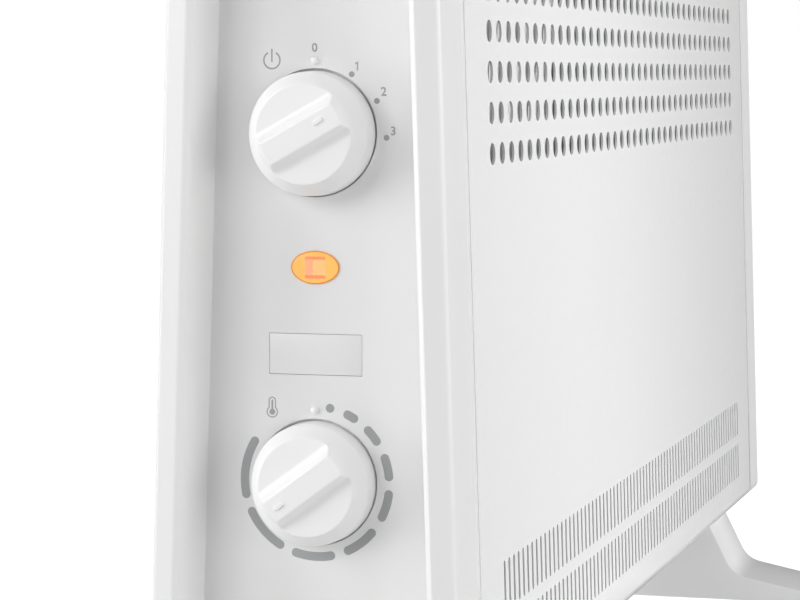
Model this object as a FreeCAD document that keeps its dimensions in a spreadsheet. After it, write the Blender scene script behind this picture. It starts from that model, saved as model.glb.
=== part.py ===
import FreeCAD, Part
import math
import operator
import os
import types
import Sketcher
from FreeCAD import Rotation, Vector

# Free-standing convector heater, in millimetres. +Z is up, the front looks towards -Y and the control
# end is at -X. The origin lies on the floor, under the middle of the casing.

DRIVING_SIZES = {
    # steel casing
    "panel_length": 538,
    "body_bottom": 48,
    "body_height": 337,
    "base_depth": 101.2,
    "lean": 1.85,
    "sheet": 0.8,
    "shoulder_radius": 16,
    "hem_radius": 4,
    "hem_width": 14,
    "grille_width": 40,
    "grille_flange": 8,
    "edge_strip": 4.2,
    "edge_step": 0.35,
    "bulkhead_inset": 28,
    "bulkhead_flange": 12,
    # outlet holes and inlet slots
    "hole_margin": 35,
    "hole_pitch": 13,
    "hole_diameter": 7.1,
    "hole_rows": 9,
    "lowest_hole": 180,
    "slot_pitch": 6.5,
    "slot_width": 2.4,
    "slot_height": 16.1,
    "slot_gap": 4,
    "slot_lift": 13.5,
    "slot_rows": 2,
    "rear_inlet_rows": 1,
    "rear_slot_width": 4,
    "rear_slot_height": 34,
    "rear_slot_gap": 8,
    "rear_slot_rows": 3,
    "vent_pitch": 9,
    "vent_width": 4,
    "vent_length": 30,
    "intake_pitch": 12,
    "intake_width": 5,
    "intake_length": 60,
    # moulded end caps
    "seam_gap": 0.8,
    "cap_flank": 24.4,
    "cap_wall": 2.5,
    "rim_wall": 1.2,
    "bevel_width": 7,
    "bevel_rise": 1.6,
    "crest_land": 0.6,
    "crest_corner": 9,
    "crest_radius": 0.9,
    "lip_width": 1.5,
    "lip_drop": 0.8,
    "lip_radius": 0.6,
    "crease_radius": 1.8,
    "recess_depth": 16,
    "recess_draft": 3.4,
    "recess_corner": 8,
    "face_wall": 3,
    "hollow_corner": 3,
    "tongue_length": 6,
    "tongue_end": 40,
    "boss_radius": 4,
    "boss_inset": 22,
    "boss_low": 24,
    "boss_high": 30,
    "pilot_radius": 1.4,
    "pilot_depth": 14,
    # feet
    "foot_x": 205,
    "foot_width": 46,
    "foot_length": 210,
    "foot_wall": 3,
    "foot_tip": 14,
    "foot_neck": 56,
    "foot_neck_height": 24,
    "foot_top": 88,
    "foot_arch": 9,
    "pad_zone": 34,
    "pad_thickness": 3,
    "pad_length": 26,
    "pad_width": 36,
    "foot_screw_y": 22,
    "foot_screw_radius": 1.95,
    # knobs, in the order of the turned profile from the panel outwards
    "selector_height": 235.2,
    "thermostat_height": 127.2,
    "selector_setting": 61,
    "thermostat_setting": 233.5,
    "well_depth": 1.6,
    "well_gap": 0.6,
    "well_rise": 0.2,
    "knob_lift": 0.4,
    "knob_radius": 19.2,
    "skirt_draft": 0.3,
    "skirt_height": 6.6,
    "skirt_edge": 1.5,
    "scoop_radius": 15.2,
    "scoop_rim": 11.3,
    "scoop_reach": 15.6,
    "knob_height": 14.3,
    "knob_crown": 13.4,
    "crown_edge": 0.6,
    "bar_width": 7.4,
    "bar_draft": 2.4,
    "scoop_root": 11.2,
    "scoop_fillet": 3,
    "pointer_length": 3.4,
    "pointer_width": 1.5,
    "pointer_rise": 0.4,
    "selector_pointer": 6.75,
    "thermostat_pointer": 9.5,
    "selector_lift": 1.1,
    "knob_wall": 2.6,
    "knob_hollow": 6.5,
    "hub_radius": 5.5,
    "hub_start": 3.7,
    "shaft_radius": 3,
    "shaft_fit": 0.05,
    "shaft_reach": 11.8,
    "shaft_flat": 1.6,
    "clip_thickness": 0.6,
    "clip_width": 3,
    "clip_length": 7,
    # heat selector behind the face
    "switch_side": 30,
    "switch_depth": 20,
    "switch_wall": 5,
    "cam_radius": 9.5,
    "cam_gap": 1,
    "cover_thickness": 2,
    "tab_length": 7,
    "tab_width": 6.3,
    "tab_thickness": 0.8,
    "tab_spread": 8,
    "switch_screw_y": 11,
    "switch_screw_radius": 1.2,
    # thermostat behind the face
    "frame_width": 32,
    "frame_height": 28,
    "frame_thickness": 1.5,
    "bush_radius": 5,
    "bush_reach": 3.4,
    "nut_radius": 8,
    "nut_thickness": 3,
    "collar_radius": 4.5,
    "collar_length": 2,
    "stack_width": 12,
    "stack_height": 8,
    "stack_depth": 16,
    "strip_width": 8,
    "strip_thickness": 0.8,
    # mains lamp and blanked opening
    "lamp_height": 194,
    "lens_length": 15.5,
    "lens_breadth": 10.3,
    "lens_rise": 1.4,
    "lens_edge": 0.6,
    "lens_lip": 0.9,
    "lens_stem": 9,
    "pocket_width": 6.6,
    "pocket_height": 6.8,
    "neon_radius": 3,
    "neon_length": 9,
    "neon_setback": 4,
    "blank_height": 167.1,
    "blank_length": 30,
    "blank_breadth": 12.84,
    "blank_thickness": 1.5,
    "blank_slot_length": 24,
    "blank_slot_breadth": 8,
    "blank_leg": 3,
    "blank_gap": 0.25,
    # heating elements
    "element_low": 152,
    "element_step": 30,
    "leg_spacing": 24,
    "tube_radius": 4,
    "tube_tail": 6,
    "bend_start": 8,
    "pin_radius": 1.5,
    "pin_length": 9,
    "bush_outer": 6,
    "bush_flange": 8,
    "bush_flange_thickness": 3,
    "bush_length": 10,
    "fin_pitch": 12,
    "fin_thickness": 0.8,
    "fin_width": 46,
    "fin_height": 26,
    "fin_margin": 24,
    # shield, cut-out and supply
    "shield_y": 30,
    "shield_low": 125,
    "shield_height": 90,
    "shield_flange": 10,
    "shield_thickness": 0.6,
    "bracket_low": 208,
    "bracket_height": 18,
    "bracket_width": 18,
    "bracket_reach": 26,
    "bracket_thickness": 1,
    "cutout_radius": 8,
    "cutout_thickness": 5,
    "cutout_stem": 5,
    "terminal_low": 78,
    "terminal_height": 18,
    "terminal_width": 40,
    "terminal_depth": 14,
    "terminal_hole": 2,
    "terminal_pitch": 12,
    "gland_x": 260.5,
    "gland_y": 20,
    "gland_bore": 3.7,
    "gland_sleeve": 6,
    "gland_collar": 7.5,
    "gland_collar_thickness": 3,
    "gland_length": 12,
    "wire_radius": 1.2,
    "wire_bend": 7,
    # fasteners and fits
    "screw_head": 3.2,
    "screw_head_height": 2,
    "screw_shank": 1.3,
    "screw_length": 14,
    "rear_screw_length": 6,
    "rear_screw_rows": 3,
    "rear_screw_low": 30,
    "rear_screw_spread": 250,
    "small_head": 2.4,
    "small_head_height": 1.4,
    "screw_fit": 0.15,
    "sheet_fit": 0.3,
    "cut_overrun": 2,
}

doc = FreeCAD.newDocument("convector_heater")
sheet = doc.addObject("Spreadsheet::Sheet", "sizes")
for row, (name, value) in enumerate(DRIVING_SIZES.items(), start=1):
    sheet.set(f"A{row}", name)
    sheet.set(f"B{row}", str(value))
    sheet.setAlias(f"B{row}", name)
doc.recompute()

OPERATIONS = {"+": operator.add, "-": operator.sub, "*": operator.mul, "/": operator.truediv}
TURNS = {"x": Rotation(Vector(0, 1, 0), 90), "y": Rotation(Vector(1, 0, 0), -90), "z": Rotation()}
# as the user sees the control face: first axis to the right, second up, third towards the user
FACE_TURN = Rotation(Vector(0, -1, 0), Vector(0, 0, 1), Vector(-1, 0, 0), "ZXY")
FRONT, REAR = -1, 1
CONTROL_END, FAR_END = -1, 1


class Size:
    """A number that keeps the formula it came from, so that a shape can be bound to the sheet."""

    def __init__(self, value, formula):
        self.value = value
        self.formula = formula

    def __add__(self, other):
        return combine(self, "+", other)

    def __radd__(self, other):
        return combine(other, "+", self)

    def __sub__(self, other):
        return combine(self, "-", other)

    def __rsub__(self, other):
        return combine(other, "-", self)

    def __mul__(self, other):
        return combine(self, "*", other)

    def __rmul__(self, other):
        return combine(other, "*", self)

    def __truediv__(self, other):
        return combine(self, "/", other)

    def __rtruediv__(self, other):
        return combine(other, "/", self)

    def __neg__(self):
        return combine(0, "-", self)


def as_size(amount):
    return amount if isinstance(amount, Size) else Size(float(amount), f"({float(amount)})")


def combine(left, sign, right):
    left = as_size(left)
    right = as_size(right)
    value = OPERATIONS[sign](left.value, right.value)
    return Size(value, f"({left.formula} {sign} {right.formula})")


def tan(angle):
    return Size(math.tan(math.radians(angle.value)), f"tan({angle.formula} * 1 deg)")


def cos(angle):
    return Size(math.cos(math.radians(angle.value)), f"cos({angle.formula} * 1 deg)")


def floor(amount):
    return Size(math.floor(amount.value), f"floor({amount.formula})")


dim = types.SimpleNamespace()
for name in DRIVING_SIZES:
    setattr(dim, name, Size(float(getattr(sheet, name)), f"{sheet.Name}.{name}"))

parts = []


def bind(item, prop, amount):
    item.setExpression(prop, as_size(amount).formula)


def place(item, x=0, y=0, z=0, turn=None):
    if turn is not None:
        item.Placement = FreeCAD.Placement(Vector(), turn)
    bind(item, "Placement.Base.x", x)
    bind(item, "Placement.Base.y", y)
    bind(item, "Placement.Base.z", z)


def keep(item, label):
    """Mark an object as a finished sub-part."""
    item.Label = label
    parts.append(item)
    return item


def block(x, y, z, name="block"):
    """Box between low and high values along each axis."""
    item = doc.addObject("Part::Box", name)
    bind(item, "Length", x[1] - x[0])
    bind(item, "Width", y[1] - y[0])
    bind(item, "Height", z[1] - z[0])
    place(item, x[0], y[0], z[0])
    return item


def rod(along, radius, span, across, name="rod"):
    """Cylinder along one axis over a span, at the two other coordinates in order."""
    item = doc.addObject("Part::Cylinder", name)
    bind(item, "Radius", radius)
    bind(item, "Height", span[1] - span[0])
    first, second = across
    spots = {"x": (span[0], first, second), "y": (first, span[0], second), "z": (first, second, span[0])}
    place(item, *spots[along], TURNS[along])
    return item


def ellipse_rod(length, breadth, start, rise, height):
    """Oval prism standing on the control face frame, from a plane towards the user."""
    curve = doc.addObject("Part::Ellipse", "oval")
    bind(curve, "MajorRadius", length / 2)
    bind(curve, "MinorRadius", breadth / 2)
    item = doc.addObject("Part::Extrusion", "oval_prism")
    item.Base = curve
    item.DirMode = "Custom"
    item.Dir = Vector(0, 0, 1)
    item.Solid = True
    bind(item, "LengthFwd", rise)
    place(item, start, 0, height, FACE_TURN)
    return item


def fuse(items, name="joined"):
    item = doc.addObject("Part::MultiFuse", name)
    item.Shapes = items
    item.Refine = True
    return item


def cut(base, tools, name="cut"):
    item = doc.addObject("Part::Cut", name)
    item.Base = base
    item.Tool = tools[0] if len(tools) == 1 else fuse(tools, "tools")
    return item


def common(first, second, name="overlap"):
    item = doc.addObject("Part::Common", name)
    item.Base = first
    item.Tool = second
    return item


def gather(items, name):
    """Group of separate like solids."""
    item = doc.addObject("Part::Compound", name)
    item.Links = items
    return item


def body(name):
    return doc.addObject("PartDesign::Body", name)


def origin_plane(item, role):
    return next(feature for feature in item.Origin.OriginFeatures if feature.Role == role)


def sketch(item, plane, offset=0):
    drawing = item.newObject("Sketcher::SketchObject", "outline")
    drawing.AttachmentSupport = [(origin_plane(item, plane), "")]
    drawing.MapMode = "FlatFace"
    bind(drawing, "AttachmentOffset.Base.z", offset)
    return drawing


def fix(drawing, kind, *where, amount):
    index = drawing.addConstraint(Sketcher.Constraint(kind, *where, as_size(amount).value))
    drawing.setExpression(f"Constraints[{index}]", as_size(amount).formula)


def pin_point(drawing, geometry, point, across, up):
    fix(drawing, "DistanceX", -1, 1, geometry, point, amount=across)
    fix(drawing, "DistanceY", -1, 1, geometry, point, amount=up)


def outline(drawing, corners):
    """Closed outline through (across, up, radius) corners, each sharp or rounded."""
    count = len(corners)
    spots = [Vector(as_size(x).value, as_size(y).value, 0) for x, y, radius in corners]
    radii = [as_size(radius).value for x, y, radius in corners]
    ways = [(spots[(i + 1) % count] - spots[i]).normalize() for i in range(count)]
    arrive = []
    leave = []
    for i in range(count):
        turn = math.acos(max(-1, min(1, ways[i - 1].dot(ways[i]))))
        reach = radii[i] * math.tan(turn / 2)
        arrive.append(spots[i] - ways[i - 1] * reach)
        leave.append(spots[i] + ways[i] * reach)
    lines = []
    for i in range(count):
        lines.append(drawing.addGeometry(Part.LineSegment(leave[i], arrive[(i + 1) % count])))
    for i, (across, up, radius) in enumerate(corners):
        before = lines[i - 1]
        after = lines[i]
        if not isinstance(radius, Size):
            drawing.addConstraint(Sketcher.Constraint("Coincident", before, 2, after, 1))
            pin_point(drawing, after, 1, across, up)
            continue
        to_left = ways[i - 1].cross(ways[i]).z > 0
        inward = Vector(-ways[i - 1].y, ways[i - 1].x, 0) * (1 if to_left else -1)
        centre = arrive[i] + inward * radii[i]
        ends = (arrive[i], leave[i]) if to_left else (leave[i], arrive[i])
        angles = [math.atan2((end - centre).y, (end - centre).x) for end in ends]
        circle_line = Part.Circle(centre, Vector(0, 0, 1), radii[i])
        arc = drawing.addGeometry(Part.ArcOfCircle(circle_line, *angles))
        first, last = (1, 2) if to_left else (2, 1)
        drawing.addConstraint(Sketcher.Constraint("Tangent", before, 2, arc, first))
        drawing.addConstraint(Sketcher.Constraint("Tangent", arc, last, after, 1))
        fix(drawing, "Radius", arc, amount=radius)
        corner = drawing.addGeometry(Part.Point(spots[i]), True)
        drawing.addConstraint(Sketcher.Constraint("PointOnObject", corner, 1, before))
        drawing.addConstraint(Sketcher.Constraint("PointOnObject", corner, 1, after))
        pin_point(drawing, corner, 1, across, up)


def circle(drawing, across, up, radius):
    centre = Vector(as_size(across).value, as_size(up).value, 0)
    ring = drawing.addGeometry(Part.Circle(centre, Vector(0, 0, 1), as_size(radius).value))
    pin_point(drawing, ring, 3, across, up)
    fix(drawing, "Radius", ring, amount=radius)


def rectangle(drawing, across, up):
    """Upright rectangle between low and high values."""
    outline(drawing, [
        (across[0], up[0], 0),
        (across[1], up[0], 0),
        (across[1], up[1], 0),
        (across[0], up[1], 0),
    ])


def upright_slot(drawing, across, low, high, width):
    """Slot with round ends, standing upright between low and high."""
    radius = as_size(width / 2)
    x = as_size(across).value
    side = Vector(radius.value, 0, 0)
    top = Vector(x, as_size(high).value - radius.value, 0)
    foot = Vector(x, as_size(low).value + radius.value, 0)
    axis = Vector(0, 0, 1)
    upper = drawing.addGeometry(Part.ArcOfCircle(Part.Circle(top, axis, radius.value), 0, math.pi))
    lower = drawing.addGeometry(Part.ArcOfCircle(Part.Circle(foot, axis, radius.value), math.pi, 2 * math.pi))
    left = drawing.addGeometry(Part.LineSegment(top - side, foot - side))
    right = drawing.addGeometry(Part.LineSegment(foot + side, top + side))
    chain = [(upper, left), (left, lower), (lower, right), (right, upper)]
    for before, after in chain:
        drawing.addConstraint(Sketcher.Constraint("Tangent", before, 2, after, 1))
    fix(drawing, "Radius", upper, amount=radius)
    pin_point(drawing, upper, 3, across, high - radius)
    fix(drawing, "DistanceY", -1, 1, lower, 3, amount=low + radius)


def pad(item, drawing, length, both_ways=False, backwards=False):
    feature = item.newObject("PartDesign::Pad", "pad")
    feature.Profile = drawing
    feature.SideType = "Symmetric" if both_ways else "One side"
    feature.Reversed = backwards
    bind(feature, "Length", length)
    return feature


def pocket(item, drawing, length=None, backwards=False):
    """Cut to a depth, or right through both ways when no depth is given."""
    feature = item.newObject("PartDesign::Pocket", "pocket")
    feature.Profile = drawing
    feature.Reversed = backwards
    if length is None:
        feature.SideType = "Symmetric"
        feature.Type = "ThroughAll"
    else:
        bind(feature, "Length", length)
    return feature


def loft(item, kind, first, second):
    feature = item.newObject(f"PartDesign::{kind}", "loft")
    feature.Profile = first
    feature.Sections = [second]
    feature.Ruled = True
    return feature


def row_of(item, feature, drawing, count, pitch, rows=None, row_pitch=None):
    """Repeat a feature along its sketch's first axis and, where asked, along its second."""
    copies = item.newObject("PartDesign::LinearPattern", "row")
    copies.Originals = [feature]
    copies.Direction = (drawing, ["H_Axis"])
    bind(copies, "Length", (count - 1) * pitch)
    bind(copies, "Occurrences", count)
    if rows is not None:
        copies.Direction2 = (drawing, ["V_Axis"])
        bind(copies, "Length2", (rows - 1) * row_pitch)
        bind(copies, "Occurrences2", rows)
    item.Tip = copies
    return copies


def mirror(item, feature, plane):
    copies = item.newObject("PartDesign::Mirrored", "mirrored")
    copies.Originals = [feature]
    copies.MirrorPlane = (origin_plane(item, plane), [""])
    item.Tip = copies
    return copies


def round_edges(item, feature, position, radius):
    """Round the edges that lie in one plane across the length of the heater."""
    doc.recompute()
    names = []
    for number, edge in enumerate(feature.Shape.Edges, start=1):
        box = edge.BoundBox
        if abs(box.XMin - position.value) < 0.001 and abs(box.XMax - position.value) < 0.001:
            names.append(f"Edge{number}")
    rounding = item.newObject("PartDesign::Fillet", "rounding")
    rounding.Base = (feature, names)
    bind(rounding, "Radius", radius)
    item.Tip = rounding
    return rounding


def spread(length, margin, pitch):
    """How many copies fit a length between two margins, and where the first one stands."""
    count = floor((length - 2 * margin) / pitch + 0.001) + 1
    return count, -(count - 1) * pitch / 2


# places that several pieces share
body_top = dim.body_bottom + dim.body_height
panel_end = dim.panel_length / 2
base_floor = dim.body_bottom + dim.sheet
base_top = base_floor + dim.sheet
grille_opening = dim.grille_width / 2 + dim.sheet_fit / 2
hem_gap = dim.base_depth / 2 - dim.hem_width
bulkhead_face = panel_end - dim.bulkhead_inset
bulkhead_back = bulkhead_face + dim.sheet
seam = panel_end + dim.seam_gap
crease = seam + dim.cap_flank
crest = crease + dim.bevel_rise
face = crest - dim.recess_depth
face_back = face - dim.face_wall
well_floor = face - dim.well_depth
knob_base = well_floor + dim.knob_lift
knob_sink = face - knob_base


def half_depth(height, inset=0):
    """Half the casing's depth at a height, inside its outer surface by an inset."""
    return dim.base_depth / 2 - (height - dim.body_bottom) * tan(dim.lean) - inset / cos(dim.lean)


def boss_places():
    low = dim.body_bottom + dim.boss_low
    high = body_top - dim.boss_high
    return [(side * (half_depth(z) - dim.boss_inset), z) for z in (low, high) for side in (FRONT, REAR)]


def element_places():
    heights = (dim.element_low, dim.element_low + dim.element_step)
    return [(side * dim.leg_spacing / 2, z) for z in heights for side in (FRONT, REAR)]


def rear_screw_places():
    step = dim.rear_screw_spread / (dim.rear_screw_rows - 1)
    low = dim.body_bottom + dim.rear_screw_low
    rows = int(dim.rear_screw_rows.value)
    x = bulkhead_face + dim.bulkhead_flange / 2
    return [(end * x, low + step * row) for end in (CONTROL_END, FAR_END) for row in range(rows)]


def casing_panel(name, side):
    """Bent sheet: hem below, leaning wall, rounded shoulder and a turned-down edge beside the grille."""
    item = body(name)
    bottom = dim.body_bottom
    hem_end = side * hem_gap
    lip_low = body_top - dim.grille_flange
    lip_back = grille_opening + dim.sheet
    inner_top = body_top - dim.sheet
    wall = sketch(item, "YZ_Plane")
    outline(wall, [
        (hem_end, bottom, 0),
        (side * half_depth(bottom), bottom, dim.hem_radius),
        (side * half_depth(body_top), body_top, dim.shoulder_radius),
        (side * grille_opening, body_top, 0),
        (side * grille_opening, lip_low, 0),
        (side * lip_back, lip_low, 0),
        (side * lip_back, inner_top, 0),
        (side * half_depth(inner_top, dim.sheet), inner_top, dim.shoulder_radius - dim.sheet),
        (side * half_depth(base_floor, dim.sheet), base_floor, dim.hem_radius - dim.sheet),
        (hem_end, base_floor, 0),
    ])
    pad(item, wall, dim.panel_length, both_ways=True)

    # a narrow strip at each end is set back a little, where the sheet meets the cap
    strip = sketch(item, "YZ_Plane", panel_end)
    over = dim.cut_overrun
    low = bottom - over
    high = body_top + over
    set_back = body_top - dim.edge_step
    outline(strip, [
        (side * half_depth(low, -over), low, 0),
        (side * half_depth(high, -over), high, dim.shoulder_radius + over),
        (side * (grille_opening - over), high, 0),
        (side * (grille_opening - over), set_back, 0),
        (side * half_depth(set_back, dim.edge_step), set_back, dim.shoulder_radius - dim.edge_step),
        (side * half_depth(low, dim.edge_step), low, 0),
    ])
    mirror(item, pocket(item, strip, dim.edge_strip), "YZ_Plane")
    return item


def slot_rows(item, pitch, width, low, height, rows, gap):
    """Rows of upright slots across a sheet, from the lowest row's foot upwards."""
    slots = sketch(item, "XZ_Plane")
    count, first = spread(dim.panel_length, dim.hole_margin, pitch)
    upright_slot(slots, first, low, low + height, width)
    row_of(item, pocket(item, slots), slots, count, pitch, rows, height + gap)


def front_panel():
    """Round outlet holes above and two rows of fine inlet slots below."""
    item = casing_panel("front_sheet", FRONT)
    low = dim.body_bottom + dim.slot_lift
    slot_rows(item, dim.slot_pitch, dim.slot_width, low, dim.slot_height, dim.slot_rows, dim.slot_gap)
    holes = sketch(item, "XZ_Plane")
    count, first = spread(dim.panel_length, dim.hole_margin, dim.hole_pitch)
    circle(holes, first, dim.body_bottom + dim.lowest_hole, dim.hole_diameter / 2)
    row_of(item, pocket(item, holes), holes, count, dim.hole_pitch, dim.hole_rows, dim.hole_pitch)
    return keep(item, "front_panel")


def rear_panel():
    """Coarser slots, and the screws that hold the sheet to the bulkheads."""
    item = casing_panel("rear_sheet", REAR)
    holes = sketch(item, "XZ_Plane")
    for x, z in rear_screw_places():
        circle(holes, x, z, dim.screw_shank + dim.screw_fit)
    pocket(item, holes)
    low = dim.body_bottom + dim.slot_lift
    height = dim.slot_rows * (dim.slot_height + dim.slot_gap) - dim.slot_gap
    slot_rows(item, dim.hole_pitch, dim.rear_slot_width, low, height, dim.rear_inlet_rows, dim.slot_gap)
    low = dim.body_bottom + dim.lowest_hole - dim.hole_diameter / 2
    slot_rows(item, dim.hole_pitch, dim.rear_slot_width, low, dim.rear_slot_height,
              dim.rear_slot_rows, dim.rear_slot_gap)
    return keep(item, "rear_panel")


def top_grille():
    """Shallow channel with cross slots that closes the top between the two sheets."""
    item = body("grille_sheet")
    half = dim.grille_width / 2
    low = body_top - dim.grille_flange
    under = body_top - dim.sheet
    channel = sketch(item, "YZ_Plane")
    outline(channel, [
        (-half, low, 0),
        (-half + dim.sheet, low, 0),
        (-half + dim.sheet, under, 0),
        (half - dim.sheet, under, 0),
        (half - dim.sheet, low, 0),
        (half, low, 0),
        (half, body_top, 0),
        (-half, body_top, 0),
    ])
    pad(item, channel, dim.panel_length, both_ways=True)
    vents = sketch(item, "XY_Plane", body_top)
    count, first = spread(dim.panel_length, dim.hole_margin, dim.vent_pitch)
    upright_slot(vents, first, -dim.vent_length / 2, dim.vent_length / 2, dim.vent_width)
    row_of(item, pocket(item, vents), vents, count, dim.vent_pitch)
    return keep(item, "top_grille")


def base_plate():
    """Flat plate on the two hems, with intake slots between the feet and a hole for the gland."""
    item = body("base_sheet")
    reach = panel_end - dim.sheet_fit
    half = half_depth(dim.body_bottom) - dim.hem_radius - dim.sheet_fit
    plate = sketch(item, "XY_Plane", base_floor)
    rectangle(plate, (-reach, reach), (-half, half))
    pad(item, plate, dim.sheet)
    intake = sketch(item, "XY_Plane", base_floor)
    count, first = spread(2 * dim.foot_x, dim.foot_width, dim.intake_pitch)
    upright_slot(intake, first, -dim.intake_length / 2, dim.intake_length / 2, dim.intake_width)
    row_of(item, pocket(item, intake), intake, count, dim.intake_pitch)
    holes = sketch(item, "XY_Plane", base_floor)
    circle(holes, -dim.gland_x, dim.gland_y, dim.gland_sleeve + dim.screw_fit)
    for end in (CONTROL_END, FAR_END):
        for side in (FRONT, REAR):
            hole = dim.foot_screw_radius + dim.screw_fit
            circle(holes, end * dim.foot_x, side * dim.foot_screw_y, hole)
    pocket(item, holes)
    return keep(item, "base_plate")


def bulkhead(label, end):
    """Inner end wall: a shallow tray whose flange points at the end cap."""
    item = body(f"{label}_sheet")
    low = base_top + dim.sheet_fit
    high = body_top - dim.grille_flange - dim.sheet_fit

    def tray(drawing, inset):
        side_inset = dim.sheet + dim.sheet_fit + inset
        lower = low + inset
        upper = high - inset
        outline(drawing, [
            (-half_depth(lower, side_inset), lower, dim.hem_radius + dim.cut_overrun),
            (half_depth(lower, side_inset), lower, dim.hem_radius + dim.cut_overrun),
            (half_depth(upper, side_inset), upper, dim.shoulder_radius),
            (-half_depth(upper, side_inset), upper, dim.shoulder_radius),
        ])

    wall = sketch(item, "YZ_Plane", end * bulkhead_face)
    tray(wall, as_size(0))
    pad(item, wall, dim.bulkhead_flange, backwards=end < 0)
    hollow = sketch(item, "YZ_Plane", end * (bulkhead_face + dim.bulkhead_flange))
    tray(hollow, dim.sheet)
    pocket(item, hollow, dim.bulkhead_flange - dim.sheet, backwards=end < 0)
    holes = sketch(item, "YZ_Plane", end * bulkhead_face)
    for y, z in element_places():
        circle(holes, y, z, dim.bush_outer + dim.screw_fit)
    for y, z in boss_places():
        circle(holes, y, z, dim.screw_shank + dim.screw_fit)
    pocket(item, holes)
    rear = sketch(item, "XZ_Plane")
    for x, z in rear_screw_places():
        if x.value * end > 0:
            circle(rear, x, z, dim.screw_shank + dim.screw_fit)
    holed = item.newObject("PartDesign::Pocket", "pocket")
    holed.Profile = rear
    bind(holed, "Length", dim.base_depth)
    return keep(item, label)


def cap_outline(drawing, inset, top_radius, bottom_radius):
    low = dim.body_bottom + inset
    high = body_top - inset
    outline(drawing, [
        (-half_depth(low, inset), low, bottom_radius),
        (half_depth(low, inset), low, bottom_radius),
        (half_depth(high, inset), high, top_radius),
        (-half_depth(high, inset), high, top_radius),
    ])


def end_cap(name, end):
    """Hollow moulding: flank, slanting rim band, crest with a sloping lip and a dished outer face."""
    item = body(name)
    backwards = end < 0
    flank = sketch(item, "YZ_Plane", end * seam)
    cap_outline(flank, as_size(0), dim.shoulder_radius, dim.hem_radius)
    pad(item, flank, dim.cap_flank, backwards=backwards)

    band_start = sketch(item, "YZ_Plane", end * crease)
    cap_outline(band_start, as_size(0), dim.shoulder_radius, dim.hem_radius)
    band_end = sketch(item, "YZ_Plane", end * crest)
    cap_outline(band_end, dim.bevel_width, dim.crest_corner, dim.crest_corner)
    loft(item, "AdditiveLoft", band_start, band_end)

    hollow = sketch(item, "YZ_Plane", end * seam)
    cap_outline(hollow, dim.cap_wall, dim.shoulder_radius - dim.cap_wall, dim.hollow_corner)
    pocket(item, hollow, dim.cap_flank - dim.rim_wall, backwards=end > 0)

    opening = dim.bevel_width + dim.crest_land + dim.lip_width
    slope = dim.recess_draft / dim.recess_depth
    dish_start = sketch(item, "YZ_Plane", end * crease)
    dish_inset = opening + slope * dim.bevel_rise - dim.cap_wall
    cap_outline(dish_start, dish_inset, dim.crest_corner, dim.crest_corner)
    dish_end = sketch(item, "YZ_Plane", end * face_back)
    dish_inset = opening + slope * (dim.recess_depth + dim.face_wall) - dim.cap_wall
    cap_outline(dish_end, dish_inset, dim.crest_corner, dim.crest_corner)
    loft(item, "AdditiveLoft", dish_start, dish_end)

    mouth = sketch(item, "YZ_Plane", end * crest)
    cap_outline(mouth, opening, dim.recess_corner, dim.recess_corner)
    seat = sketch(item, "YZ_Plane", end * face)
    cap_outline(seat, opening + dim.recess_draft, dim.recess_corner, dim.recess_corner)
    loft(item, "SubtractiveLoft", mouth, seat)

    lip_start = sketch(item, "YZ_Plane", end * crest)
    lip_corner = dim.crest_corner - dim.crest_land
    cap_outline(lip_start, dim.bevel_width + dim.crest_land, lip_corner, lip_corner)
    lip_foot = crest - dim.lip_drop
    lip_end = sketch(item, "YZ_Plane", end * lip_foot)
    cap_outline(lip_end, opening + slope * dim.lip_drop, dim.recess_corner, dim.recess_corner)
    lip = loft(item, "SubtractiveLoft", lip_start, lip_end)

    lip_rounding = round_edges(item, lip, end * lip_foot, dim.lip_radius)
    crest_rounding = round_edges(item, lip_rounding, end * crest, dim.crest_radius)
    round_edges(item, crest_rounding, end * crease, dim.crease_radius)

    # tongues that slip behind the edges of the two sheets
    tongues = sketch(item, "YZ_Plane", end * seam)
    low = dim.body_bottom + dim.tongue_end
    high = body_top - dim.tongue_end
    outer = dim.sheet + dim.sheet_fit
    for side in (FRONT, REAR):
        outline(tongues, [
            (side * half_depth(low, outer), low, 0),
            (side * half_depth(high, outer), high, 0),
            (side * half_depth(high, dim.cap_wall), high, 0),
            (side * half_depth(low, dim.cap_wall), low, 0),
        ])
    pad(item, tongues, dim.tongue_length + dim.seam_gap, backwards=end > 0)

    bosses = sketch(item, "YZ_Plane", end * face_back)
    for y, z in boss_places():
        circle(bosses, y, z, dim.boss_radius)
    pad(item, bosses, face_back - bulkhead_back, backwards=end > 0)
    pilots = sketch(item, "YZ_Plane", end * bulkhead_back)
    for y, z in boss_places():
        circle(pilots, y, z, dim.pilot_radius)
    pocket(item, pilots, dim.pilot_depth, backwards=end > 0)
    return item


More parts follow.
